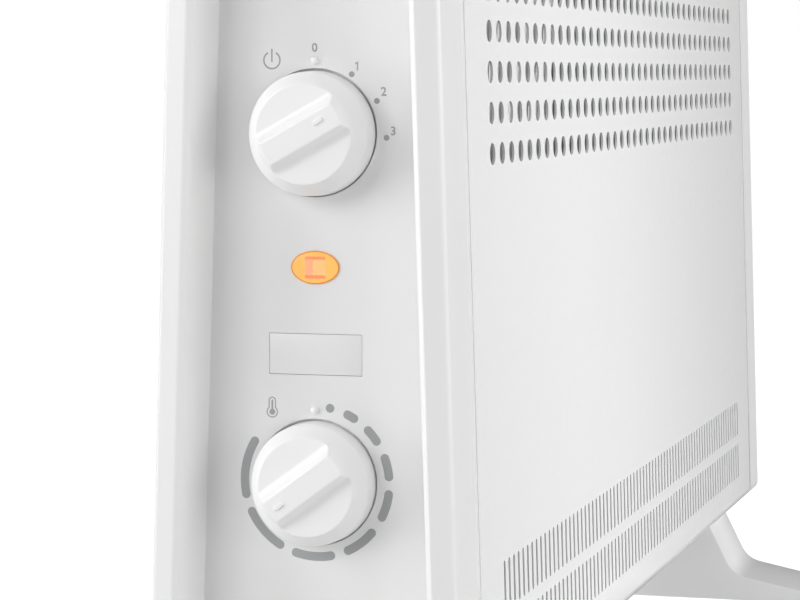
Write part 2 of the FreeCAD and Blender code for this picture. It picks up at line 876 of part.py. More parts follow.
def control_end_cap():
    """The cap whose dished face carries the knobs, the lamp and the blanked opening."""
    item = end_cap("control_moulding", CONTROL_END)
    wells = sketch(item, "YZ_Plane", -face)
    well_radius = dim.knob_radius + dim.well_gap
    circle(wells, 0, dim.selector_height + dim.well_rise, well_radius)
    circle(wells, 0, dim.thermostat_height + dim.well_rise, well_radius)
    pocket(item, wells, dim.well_depth, backwards=True)

    blank = sketch(item, "YZ_Plane", -face)
    half = dim.blank_length / 2
    rise = dim.blank_breadth / 2
    rectangle(blank, (-half, half), (dim.blank_height - rise, dim.blank_height + rise))
    pocket(item, blank, dim.blank_thickness, backwards=True)

    through = sketch(item, "YZ_Plane", -face)
    half = dim.blank_slot_length / 2
    rise = dim.blank_slot_breadth / 2
    rectangle(through, (-half, half), (dim.blank_height - rise, dim.blank_height + rise))
    circle(through, 0, dim.selector_height, dim.shaft_radius + 2 * dim.well_gap)
    circle(through, 0, dim.thermostat_height, dim.bush_radius + dim.screw_fit)
    for side in (FRONT, REAR):
        hole = dim.switch_screw_radius + dim.screw_fit
        circle(through, side * dim.switch_screw_y, dim.selector_height, hole)
    pocket(item, through, dim.face_wall, backwards=True)

    stem_length = dim.lens_length - 2 * dim.lens_lip + 2 * dim.screw_fit
    stem_breadth = dim.lens_breadth - 2 * dim.lens_lip + 2 * dim.screw_fit
    lamp_hole = ellipse_rod(stem_length, stem_breadth, -face_back, dim.face_wall, dim.lamp_height)
    return keep(cut(item, [lamp_hole], "control_cap"), "control_end_cap")


def foot(label, end):
    """Moulded foot with an arch below, hollow under its neck, and a seat between the hems."""
    item = body(f"{label}_moulding")
    tip = dim.foot_length / 2
    under = dim.pad_thickness
    arch_start = tip - dim.pad_zone
    arch_end = arch_start - dim.foot_arch
    arch_top = under + dim.foot_arch
    top = dim.body_bottom
    top_half = dim.foot_top / 2
    seat_half = hem_gap - dim.sheet_fit
    right = [
        (seat_half, base_floor, 0),
        (seat_half, top, 0),
        (top_half, top, 0),
        (dim.foot_neck, dim.foot_neck_height, dim.foot_neck_height / 2),
        (tip, dim.foot_tip, dim.foot_tip / 3),
        (tip, under, dim.foot_tip / 6),
        (arch_start, under, 0),
        (arch_end, arch_top, dim.foot_arch / 2),
    ]
    left = [(-y, z, radius) for y, z, radius in reversed(right)]
    profile = sketch(item, "YZ_Plane")
    outline(profile, right + left)
    pad(item, profile, dim.foot_width, both_ways=True)

    # the hollow stays one wall inside the sloping top
    slope = (dim.foot_neck_height - dim.foot_tip) / (tip - dim.foot_neck)
    hollow_half = arch_end - dim.foot_wall
    hollow_edge = dim.foot_tip + slope * (tip - hollow_half) - dim.foot_wall
    hollow_neck = dim.foot_neck - dim.foot_wall
    ceiling = top - dim.foot_wall
    ceiling_half = top_half - dim.foot_wall
    low = under - dim.cut_overrun
    half_hollow = [
        (ceiling_half, ceiling, 0),
        (hollow_neck, dim.foot_neck_height - dim.foot_wall, 0),
        (hollow_half, hollow_edge, 0),
        (hollow_half, low, 0),
    ]
    hollow = sketch(item, "YZ_Plane")
    outline(hollow, half_hollow + [(-y, z, radius) for y, z, radius in reversed(half_hollow)])
    inside = item.newObject("PartDesign::Pocket", "pocket")
    inside.Profile = hollow
    inside.SideType = "Symmetric"
    bind(inside, "Length", dim.foot_width - 2 * dim.foot_wall)

    holes = sketch(item, "XY_Plane", ceiling)
    for side in (FRONT, REAR):
        circle(holes, 0, side * dim.foot_screw_y, dim.foot_screw_radius + dim.screw_fit)
    pocket(item, holes)
    place(item, end * dim.foot_x)
    return keep(item, label)


def foot_pads():
    pads = []
    middle = dim.foot_length / 2 - dim.pad_zone / 2
    for end in (CONTROL_END, FAR_END):
        for side in (FRONT, REAR):
            x = end * dim.foot_x - dim.pad_width / 2
            y = side * middle - dim.pad_length / 2
            span_x = (x, x + dim.pad_width)
            span_y = (y, y + dim.pad_length)
            pads.append(block(span_x, span_y, (as_size(0), dim.pad_thickness), "foot_pad"))
    return keep(gather(pads, "pads"), "foot_pads")


def screw(along, start, way, length, across, head=None, head_height=None, shank=None):
    """Round-headed screw: the head stands back from its seat at start, the shank goes the given way."""
    head = head or dim.screw_head
    head_height = head_height or dim.screw_head_height
    shank = shank or dim.screw_shank
    tip = start + way * length
    back = start - way * head_height
    shank_span = (start, tip) if way > 0 else (tip, start)
    head_span = (back, start) if way > 0 else (start, back)
    return fuse([rod(along, shank, shank_span, across), rod(along, head, head_span, across)], "screw")


def foot_screws():
    seat = dim.body_bottom - dim.foot_wall
    length = base_top - seat + dim.foot_wall
    screws = []
    for end in (CONTROL_END, FAR_END):
        for side in (FRONT, REAR):
            spot = (end * dim.foot_x, side * dim.foot_screw_y)
            screws.append(screw("z", seat, 1, length, spot, shank=dim.foot_screw_radius))
    return keep(gather(screws, "foot_screw_set"), "foot_screws")


def cap_screws():
    screws = []
    for end in (CONTROL_END, FAR_END):
        for spot in boss_places():
            screws.append(screw("x", end * bulkhead_face, end, dim.screw_length, spot))
    return keep(gather(screws, "cap_screw_set"), "cap_screws")


def rear_screws():
    """Screws through the rear sheet into the bulkhead flanges, each square to the leaning sheet."""
    screws = []
    turn = Rotation(Vector(1, 0, 0), 90 + dim.lean.value)
    for x, z in rear_screw_places():
        shank = doc.addObject("Part::Cylinder", "shank")
        bind(shank, "Radius", dim.screw_shank)
        bind(shank, "Height", dim.rear_screw_length)
        head = doc.addObject("Part::Cylinder", "head")
        bind(head, "Radius", dim.screw_head)
        bind(head, "Height", dim.screw_head_height)
        place(head, 0, 0, -dim.screw_head_height)
        item = fuse([shank, head], "screw")
        place(item, x, half_depth(z), z, turn)
        screws.append(item)
    return keep(gather(screws, "rear_screw_set"), "rear_screws")


def knob(label, height, setting, pointer, lift):
    """Turned knob with a grip bar left standing between two scoops, and a raised pointer."""
    turned = body(f"{label}_turning")
    skirt_top = knob_sink + dim.skirt_height
    top = knob_sink + dim.knob_height
    rim = knob_sink + dim.scoop_rim
    skirt_radius = dim.knob_radius - dim.skirt_draft
    inner = dim.knob_radius - dim.knob_wall
    bore = dim.shaft_radius + dim.shaft_fit
    bore_end = knob_sink + dim.shaft_reach - dim.skirt_draft
    section = sketch(turned, "XZ_Plane")
    outline(section, [
        (bore, dim.hub_start, 0),
        (dim.hub_radius, dim.hub_start, 0),
        (dim.hub_radius, dim.knob_hollow, 0),
        (inner, dim.knob_hollow, 0),
        (inner, 0, 0),
        (dim.knob_radius, 0, 0),
        (skirt_radius, skirt_top, dim.skirt_edge),
        (dim.scoop_radius, rim, 0),
        (dim.knob_crown, top, dim.crown_edge),
        (0, top, 0),
        (0, bore_end, 0),
        (bore, bore_end, 0),
    ])
    revolve = turned.newObject("PartDesign::Revolution", "turning")
    revolve.Profile = section
    revolve.ReferenceAxis = (section, ["V_Axis"])
    revolve.Angle = 360

    scoops = []
    half_bar = dim.bar_width / 2
    root = knob_sink + dim.scoop_root
    foot_x = half_bar + dim.bar_draft
    wall_slope = dim.bar_draft / (top - root)
    over = dim.cut_overrun
    outer = dim.scoop_reach + over
    for side in (-1, 1):
        trough = body(f"{label}_trough")
        shape = sketch(trough, "XZ_Plane")
        outline(shape, [
            (side * (half_bar - wall_slope * over), top + over, 0),
            (side * foot_x, root, dim.scoop_fillet),
            (side * outer, root, 0),
            (side * outer, top + over, 0),
        ])
        pad(trough, shape, 2 * dim.knob_radius, both_ways=True)
        disc = rod("z", dim.scoop_reach, (dim.knob_hollow, top + 2 * over), (0, 0))
        scoops.append(common(disc, trough, "scoop"))

    mark = body(f"{label}_mark")
    pill = sketch(mark, "XY_Plane", top)
    reach = dim.pointer_length / 2
    upright_slot(pill, 0, pointer - reach, pointer + reach, dim.pointer_width)
    pad(mark, pill, dim.pointer_rise)

    item = fuse([cut(turned, scoops), mark], f"{label}_form")
    turn = FACE_TURN.multiply(Rotation(Vector(0, 0, 1), -setting.value))
    place(item, -(knob_base + lift), 0, height, turn)
    return keep(item, label)


def shaft_end(height, inner_end):
    """Round shaft with a flat for the knob, from inside the knob to a given depth."""
    tip = -(face + dim.shaft_reach - dim.knob_lift)
    span = (tip, inner_end)
    stem = rod("x", dim.shaft_radius, span, (as_size(0), height))
    radius = dim.shaft_radius
    flat_span = (tip, -(knob_base + dim.hub_start))
    flat = block(flat_span, (-radius, radius), (height + dim.shaft_flat, height + radius), "flat")
    return cut(stem, [flat], "stem")


def shaft_clip(label, height):
    """Leaf spring between the shaft's flat and the bore of the knob."""
    start = -(face + dim.shaft_reach - 2 * dim.knob_lift)
    gap = dim.shaft_fit
    low = height + dim.shaft_flat + gap
    half = dim.clip_width / 2
    item = block((start, start + dim.clip_length), (-half, half), (low, low + dim.clip_thickness), "leaf")
    return keep(item, label)


def tabs(start, y_places, z, way=1):
    """Flat push-on terminals that stand out along the heater."""
    half = dim.tab_width / 2
    items = []
    for y in y_places:
        span = (start, start + way * dim.tab_length)
        items.append(block(span, (y - half, y + half), (z, z + dim.tab_thickness), "tab"))
    return items


def heat_selector():
    height = dim.selector_height
    half = dim.switch_side / 2
    front = -face_back
    back = front + dim.switch_depth
    sides = (-half, half)
    rows = (height - half, height + half)
    case = block((front, back), sides, rows, "switch_case")
    axis = (as_size(0), height)
    cavity = rod("x", dim.cam_radius + dim.cam_gap, (front + dim.switch_wall, back), axis)
    bore = rod("x", dim.shaft_radius + dim.shaft_fit, (front, back), axis)
    tools = [cavity, bore]
    for side in (FRONT, REAR):
        spot = (side * dim.switch_screw_y, height)
        pilot = dim.switch_screw_radius + dim.screw_fit
        tools.append(rod("x", pilot, (front, front + dim.switch_wall), spot))
    keep(cut(case, tools, "switch_housing"), "selector_switch")

    cover = block((back, back + dim.cover_thickness), sides, rows, "cover")
    pieces = [cover]
    for level in (-1, 1):
        spots = (-dim.tab_spread, dim.tab_spread)
        pieces += tabs(back + dim.cover_thickness, spots, height + level * dim.tab_spread)
    keep(fuse(pieces, "switch_cover"), "selector_cover")

    cam_start = front + dim.switch_wall + dim.shaft_fit
    cam = rod("x", dim.cam_radius, (cam_start, back - dim.sheet_fit), axis)
    keep(fuse([shaft_end(height, cam_start + dim.switch_wall), cam], "cam_shaft"), "selector_shaft")
    shaft_clip("selector_clip", height)

    screws = []
    for side in (FRONT, REAR):
        spot = (side * dim.switch_screw_y, height)
        length = dim.switch_wall + dim.face_wall - dim.well_depth - dim.sheet_fit
        screws.append(screw("x", -well_floor, 1, length, spot,
                            dim.small_head, dim.small_head_height, dim.switch_screw_radius))
    keep(gather(screws, "switch_screw_set"), "selector_screws")


def room_thermostat():
    height = dim.thermostat_height
    axis = (as_size(0), height)
    front = -face_back
    plate_back = front + dim.frame_thickness
    half = dim.frame_width / 2
    rise = dim.frame_height / 2
    plate = block((front, plate_back), (-half, half), (height - rise, height + rise), "frame_plate")
    neck_end = -(well_floor + dim.bush_reach)
    neck = rod("x", dim.bush_radius, (neck_end, plate_back), axis)
    bore = rod("x", dim.shaft_radius + dim.shaft_fit, (neck_end, plate_back), axis)
    keep(cut(fuse([plate, neck], "frame"), [bore], "thermostat_plate"), "thermostat_frame")

    nut = doc.addObject("Part::Prism", "hexagon")
    nut.Polygon = 6
    bind(nut, "Circumradius", dim.nut_radius)
    bind(nut, "Height", dim.nut_thickness)
    nut_start = -(well_floor + dim.nut_thickness)
    place(nut, nut_start, 0, height, TURNS["x"])
    nut_hole = rod("x", dim.bush_radius + dim.shaft_fit, (nut_start, -well_floor), axis)
    keep(cut(nut, [nut_hole], "ring_nut"), "thermostat_nut")

    stack_end = plate_back + dim.stack_depth
    collar = rod("x", dim.collar_radius, (plate_back + dim.shaft_fit, plate_back + dim.collar_length), axis)
    shaft = shaft_end(height, stack_end - dim.sheet_fit)
    keep(fuse([shaft, collar], "collar_shaft"), "thermostat_shaft")
    shaft_clip("thermostat_clip", height)

    stack_top = height - dim.collar_radius - dim.sheet_fit
    stack_low = stack_top - dim.stack_height
    half = dim.stack_width / 2
    stack = block((plate_back, stack_end), (-half, half), (stack_low, stack_top), "stack")
    middle = plate_back + dim.stack_depth / 2
    pieces = [stack]
    for side in (FRONT, REAR):
        edge = side * half
        far = edge + side * dim.tab_length
        span = (edge, far) if side > 0 else (far, edge)
        width = (middle - dim.tab_width / 2, middle + dim.tab_width / 2)
        level = stack_low + dim.stack_height / 2
        pieces.append(block(width, span, (level, level + dim.tab_thickness), "tab"))
    keep(fuse(pieces, "stack_with_tabs"), "thermostat_stack")

    half = dim.strip_width / 2
    strip_top = height + dim.shaft_radius
    span = (stack_end, stack_end + dim.strip_thickness)
    keep(block(span, (-half, half), (stack_low, strip_top), "strip"), "bimetal_strip")


def mains_lamp():
    """Oval lens with a stem through the face, and the neon bulb in its square pocket."""
    height = dim.lamp_height
    edge = ellipse_rod(dim.lens_length, dim.lens_breadth, -face, dim.lens_edge, height)
    dome = doc.addObject("Part::Ellipsoid", "dome")
    bind(dome, "Radius1", dim.lens_rise)
    bind(dome, "Radius2", dim.lens_length / 2)
    bind(dome, "Radius3", dim.lens_breadth / 2)
    dome.Angle1 = 0
    place(dome, -face - dim.lens_edge, 0, height, FACE_TURN)
    stem_length = dim.lens_length - 2 * dim.lens_lip
    stem_breadth = dim.lens_breadth - 2 * dim.lens_lip
    stem = ellipse_rod(stem_length, stem_breadth, -face + dim.lens_stem, dim.lens_stem, height)
    half = dim.pocket_width / 2
    rise = dim.pocket_height / 2
    depth = (-face, -face + dim.lens_stem)
    hollow = block(depth, (-half, half), (height - rise, height + rise), "bulb_pocket")
    keep(cut(fuse([edge, dome, stem], "lens_solid"), [hollow], "lens"), "indicator_lens")
    start = -face + dim.neon_setback
    span = (start, start + dim.neon_length)
    keep(rod("x", dim.neon_radius, span, (as_size(0), height), "neon"), "neon_lamp")


def blanking_plate():
    """Flush plate in the unused opening, with two legs through its slot."""
    gap = dim.blank_gap
    half = dim.blank_length / 2 - gap
    rise = dim.blank_breadth / 2 - gap
    height = dim.blank_height
    span = (-face, -face + dim.blank_thickness)
    pieces = [block(span, (-half, half), (height - rise, height + rise), "plate")]
    leg_rise = dim.blank_slot_breadth / 2 - gap
    leg_end = -face_back + dim.blank_leg
    for side in (FRONT, REAR):
        outer = side * (dim.blank_slot_length / 2 - gap)
        inner = outer - side * dim.blank_thickness
        span = (inner, outer) if side > 0 else (outer, inner)
        start = -face + dim.blank_thickness
        pieces.append(block((start, leg_end), span, (height - leg_rise, height + leg_rise), "leg"))
    keep(fuse(pieces, "flush_plate"), "blanking_plate")


def heating_element(label, z):
    """Sheathed hairpin whose bend lies beyond the far bulkhead, with its pins at the control end."""
    half = dim.leg_spacing / 2
    tail = -(bulkhead_back + dim.tube_tail)
    bend = bulkhead_back + dim.bend_start
    pieces = []
    for side in (FRONT, REAR):
        spot = (side * half, z)
        pieces.append(rod("x", dim.tube_radius, (tail, bend), spot))
        pieces.append(rod("x", dim.pin_radius, (tail - dim.pin_length, tail), spot))
    loop = doc.addObject("Part::Torus", "bend")
    bind(loop, "Radius1", half)
    bind(loop, "Radius2", dim.tube_radius)
    loop.Angle3 = 180
    place(loop, bend, 0, z, Rotation(Vector(0, 0, 1), -90))
    pieces.append(loop)
    return keep(fuse(pieces, f"{label}_hairpin"), label)


def element_fins(label, z):
    """Row of separate fins pressed on one hairpin."""
    item = body(f"{label}_row")
    item.AllowCompound = True
    count, first = spread(2 * bulkhead_face, dim.fin_margin, dim.fin_pitch)
    plate = sketch(item, "YZ_Plane", first - dim.fin_thickness / 2)
    half = dim.fin_width / 2
    rise = dim.fin_height / 2
    rectangle(plate, (-half, half), (z - rise, z + rise))
    for side in (FRONT, REAR):
        circle(plate, side * dim.leg_spacing / 2, z, dim.tube_radius + dim.shaft_fit)
    fin = pad(item, plate, dim.fin_thickness)
    copies = item.newObject("PartDesign::LinearPattern", "row")
    copies.Originals = [fin]
    copies.Direction = (plate, ["N_Axis"])
    bind(copies, "Length", (count - 1) * dim.fin_pitch)
    bind(copies, "Occurrences", count)
    item.Tip = copies
    return keep(item, label)


def ceramic_bushes():
    bushes = []
    for end in (CONTROL_END, FAR_END):
        for spot in element_places():
            flange_edge = end * (bulkhead_face - dim.bush_flange_thickness)
            flange = (flange_edge, end * bulkhead_face)
            sleeve = (flange_edge, flange_edge + end * dim.bush_length)
            spans = [span if end > 0 else (span[1], span[0]) for span in (flange, sleeve)]
            collar = rod("x", dim.bush_flange, spans[0], spot)
            tube = rod("x", dim.bush_outer, spans[1], spot)
            bore = rod("x", dim.tube_radius + dim.shaft_fit, spans[1], spot)
            bushes.append(cut(fuse([collar, tube]), [bore], "bush"))
    return keep(gather(bushes, "bush_set"), "ceramic_bushes")


def heat_shield():
    """Upright sheet behind the elements, with a flange on each bulkhead."""
    item = body("shield_sheet")
    thin = dim.shield_thickness
    near = dim.shield_y
    far = near + dim.shield_flange
    plan = sketch(item, "XY_Plane", dim.shield_low)
    outline(plan, [
        (-bulkhead_face, near, 0),
        (bulkhead_face, near, 0),
        (bulkhead_face, far, 0),
        (bulkhead_face - thin, far, 0),
        (bulkhead_face - thin, near + thin, 0),
        (-bulkhead_face + thin, near + thin, 0),
        (-bulkhead_face + thin, far, 0),
        (-bulkhead_face, far, 0),
    ])
    pad(item, plan, dim.shield_height)
    return keep(item, "heat_shield")


def thermal_cutout():
    """Disc cut-out on an angle bracket, above the elements on the control-end bulkhead."""
    thick = dim.bracket_thickness
    half = dim.bracket_width / 2
    low = dim.bracket_low
    wall = -bulkhead_face
    upright = block((wall, wall + thick), (-half, half), (low, low + dim.bracket_height), "upright")
    shelf = block((wall, wall + dim.bracket_reach), (-half, half), (low, low + thick), "shelf")
    keep(fuse([upright, shelf], "angle"), "cutout_bracket")
    middle = wall + dim.bracket_reach - dim.cutout_radius - thick
    disc_top = low + thick + dim.cutout_thickness
    spot = (middle, as_size(0))
    disc = rod("z", dim.cutout_radius, (low + thick, disc_top), spot)
    stem = rod("z", dim.cutout_radius / 2, (disc_top, disc_top + dim.cutout_stem), spot)
    keep(fuse([disc, stem], "disc"), "thermal_cutout")


def terminal_block():
    """Three-way block on the control-end bulkhead, with a wire hole through each way."""
    half = dim.terminal_width / 2
    low = dim.terminal_low
    wall = -bulkhead_back
    case = block((wall - dim.terminal_depth, wall), (-half, half), (low, low + dim.terminal_height), "block")
    middle = wall - dim.terminal_depth / 2
    holes = []
    for way in (-1, 0, 1):
        spot = (middle, way * dim.terminal_pitch)
        holes.append(rod("z", dim.terminal_hole, (low, low + dim.terminal_height), spot))
    keep(cut(case, holes, "three_way"), "terminal_block")


def cord_gland():
    """Bush in the base plate, where the supply cord comes in."""
    spot = (-dim.gland_x, dim.gland_y)
    low = base_floor - dim.gland_collar_thickness
    high = low + dim.gland_length
    sleeve = rod("z", dim.gland_sleeve, (low, high), spot)
    outer = rod("z", dim.gland_collar, (low, base_floor), spot)
    inner = rod("z", dim.gland_collar, (base_top, base_top + dim.gland_collar_thickness), spot)
    bore = rod("z", dim.gland_bore, (low, high), spot)
    keep(cut(fuse([sleeve, outer, inner], "bush"), [bore], "gland"), "cord_gland")


def wire_tube(points):
    """Round wire along straight runs joined by arcs."""
    radius = dim.wire_bend.value
    edges = []
    start = points[0]
    for before, here, after in zip(points, points[1:], points[2:]):
        arriving = (here - before).normalize()
        leaving = (after - here).normalize()
        turn = arriving.getAngle(leaving)
        reach = radius * math.tan(turn / 2)
        first = here - arriving * reach
        last = here + leaving * reach
        inward = (leaving - arriving).normalize()
        middle = here + inward * (radius / math.cos(turn / 2) - radius)
        edges.append(Part.LineSegment(start, first).toShape())
        edges.append(Part.Arc(first, middle, last).toShape())
        start = last
    edges.append(Part.LineSegment(start, points[-1]).toShape())
    path = Part.Wire(edges)
    circle_line = Part.Circle(points[0], points[1] - points[0], dim.wire_radius.value)
    profile = Part.Wire(circle_line.toShape())
    return path.makePipeShell([profile], True, False)


def inner_wires():
    """Leads from the terminal block to the selector, and from the selector to the element pins."""
    wall = -bulkhead_back.value
    terminal_x = wall - dim.terminal_depth.value / 2
    terminal_z = (dim.terminal_low + dim.terminal_height).value
    tab_x = -face_back.value + (dim.switch_depth + dim.cover_thickness + dim.tab_length / 2).value
    tab_z = (dim.selector_height - dim.tab_spread - dim.sheet_fit).value
    pin_x = wall - (dim.tube_tail + dim.pin_length / 2).value
    lead_gap = dim.sheet_fit.value
    pin_gap = dim.pin_radius.value + lead_gap
    half = dim.leg_spacing.value / 2
    low_z = dim.element_low.value
    high_z = (dim.element_low + dim.element_step).value
    spread_y = dim.tab_spread.value
    way = dim.terminal_pitch.value
    routes = [
        [Vector(terminal_x, 0, terminal_z - way / 2), Vector(terminal_x, 0, terminal_z + way),
         Vector(tab_x, -spread_y / 2, terminal_z + 4 * way), Vector(tab_x, -spread_y, tab_z - 3 * way),
         Vector(tab_x, -spread_y, tab_z)],
        [Vector(terminal_x, way, terminal_z - way / 2), Vector(terminal_x, way, terminal_z + way),
         Vector(pin_x, half, low_z - 2 * way), Vector(pin_x, half, low_z - pin_gap)],
        [Vector(terminal_x, -way, terminal_z - way / 2), Vector(terminal_x, -way, terminal_z + way),
         Vector(pin_x, -half, low_z - 2 * way), Vector(pin_x, -half, low_z - pin_gap)],
        [Vector(pin_x, half, high_z + pin_gap), Vector(pin_x, half, high_z + way),
         Vector(tab_x, spread_y, tab_z - way), Vector(tab_x, spread_y, tab_z)],
    ]
    wires = doc.addObject("Part::Feature", "wire_set")
    wires.Shape = Part.makeCompound([wire_tube(route) for route in routes])
    return keep(wires, "inner_wires")


front_panel()
rear_panel()
top_grille()
base_plate()
bulkhead("left_bulkhead", CONTROL_END)
bulkhead("right_bulkhead", FAR_END)
control_end_cap()
keep(end_cap("plain_moulding", FAR_END), "plain_end_cap")
foot("left_foot", CONTROL_END)
foot("right_foot", FAR_END)
foot_pads()
foot_screws()
cap_screws()
rear_screws()
knob("selector_knob", dim.selector_height, dim.selector_setting, dim.selector_pointer, dim.selector_lift)
knob("thermostat_knob", dim.thermostat_height, dim.thermostat_setting, dim.thermostat_pointer, as_size(0))
heat_selector()
room_thermostat()
mains_lamp()
blanking_plate()
heating_element("low_heat_element", dim.element_low)
heating_element("high_heat_element", dim.element_low + dim.element_step)
element_fins("low_heat_fins", dim.element_low)
element_fins("high_heat_fins", dim.element_low + dim.element_step)
ceramic_bushes()
heat_shield()
thermal_cutout()
terminal_block()
cord_gland()
inner_wires()
doc.recompute()

failed = [item.Name for item in doc.Objects if "Invalid" in item.State or "Error" in item.State]
if failed:
    raise RuntimeError(f"failed objects: {failed}")
for item in parts:
    if item.Shape.isNull() or not item.Shape.isValid() or not item.Shape.Solids:
        raise RuntimeError(f"bad shape: {item.Label}")

os.makedirs("parts", exist_ok=True)
for item in parts:
    item.Shape.exportStep(f"parts/{item.Label}.step")
print(f"{len(parts)} sub-parts written")
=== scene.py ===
import math
import bpy
from mathutils import Matrix, Vector


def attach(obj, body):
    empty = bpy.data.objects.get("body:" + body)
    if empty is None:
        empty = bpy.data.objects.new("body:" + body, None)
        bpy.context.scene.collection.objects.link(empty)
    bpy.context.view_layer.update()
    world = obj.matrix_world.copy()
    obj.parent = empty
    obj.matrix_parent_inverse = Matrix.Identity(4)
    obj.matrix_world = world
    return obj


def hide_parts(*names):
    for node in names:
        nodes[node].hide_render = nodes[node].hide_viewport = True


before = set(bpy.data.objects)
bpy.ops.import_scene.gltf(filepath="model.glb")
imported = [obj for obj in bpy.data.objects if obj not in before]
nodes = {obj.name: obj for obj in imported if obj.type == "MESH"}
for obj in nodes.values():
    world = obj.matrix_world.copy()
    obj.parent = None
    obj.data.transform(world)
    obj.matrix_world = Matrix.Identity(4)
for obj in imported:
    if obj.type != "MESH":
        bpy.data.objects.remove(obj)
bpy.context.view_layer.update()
mm = 0.001
hair = 0.01 * mm  # points this close count as level
print("frame loaded:", len(nodes), "nodes")


def takeUp(piece):  # the only selected object, and the active one
    bpy.ops.object.select_all(action="DESELECT")
    piece.select_set(True)
    bpy.context.view_layer.objects.active = piece
    return piece


def setDown(piece, place=None):  # its place goes into its mesh
    takeUp(piece)
    if place is not None:
        piece.matrix_world = place @ piece.matrix_world
    bpy.ops.object.transform_apply(location=True, rotation=True, scale=True)
    return piece


def work(piece, kind, **settings):  # add a modifier and apply it
    takeUp(piece)
    step = piece.modifiers.new(kind.lower(), kind)
    for name, value in settings.items():
        setattr(step, name, value)
    bpy.ops.object.modifier_apply(modifier=step.name)


def pick(piece, kind, wanted):  # edit mode, with the corners, edges or faces whose points pass a test
    takeUp(piece)
    bpy.ops.object.mode_set(mode="EDIT")
    bpy.ops.mesh.select_mode(type=kind)
    bpy.ops.mesh.select_all(action="DESELECT")
    bpy.ops.object.mode_set(mode="OBJECT")
    points = [corner.co for corner in piece.data.vertices]
    if kind == "VERT":
        for corner in piece.data.vertices:
            corner.select = wanted([corner.co])
    else:
        for part in piece.data.edges if kind == "EDGE" else piece.data.polygons:
            part.select = wanted([points[index] for index in part.vertices])
    bpy.ops.object.mode_set(mode="EDIT")


def editAll(piece):
    takeUp(piece)
    bpy.ops.object.mode_set(mode="EDIT")
    bpy.ops.mesh.select_all(action="SELECT")


def doneEditing():
    bpy.ops.object.mode_set(mode="OBJECT")


# copies of CAD nodes: points closer than weldMm are merged, and faces that meet flatter than flatAngle become one
cadCopy = {"weldMm": 0.002, "flatAngle": 1.0}


def copyOf(node, name):
    piece = bpy.data.objects.new(name, nodes[node].data.copy())
    bpy.context.scene.collection.objects.link(piece)
    editAll(piece)
    bpy.ops.mesh.customdata_custom_splitnormals_clear()
    bpy.ops.mesh.remove_doubles(threshold=cadCopy["weldMm"] * mm)
    bpy.ops.mesh.dissolve_limited(angle_limit=math.radians(cadCopy["flatAngle"]))
    doneEditing()
    return piece


def joined(pieces, name):
    takeUp(pieces[0])
    for piece in pieces:
        piece.select_set(True)
    if len(pieces) > 1:
        bpy.ops.object.join()
    pieces[0].name = name
    return pieces[0]


def smoothed(piece, angle):  # edges sharper than the angle, in degrees, stay crisp
    takeUp(piece)
    bpy.ops.object.shade_smooth_by_angle(angle=math.radians(angle))


def linear(code):  # sRGB hex to linear colour
    channels = [int(code[at:at + 2], 16) / 255 for at in (0, 2, 4)]
    return [c / 12.92 if c <= 0.04045 else ((c + 0.055) / 1.055) ** 2.4 for c in channels] + [1.0]


def addNode(tree, kind, settings, links):
    node = tree.nodes.new(kind)
    for name, value in settings.items():
        if isinstance(name, int) or name in node.inputs:
            node.inputs[name].default_value = value
        else:
            setattr(node, name, value)
    for name, source in links.items():
        tree.links.new(source, node.inputs[name])
    return node


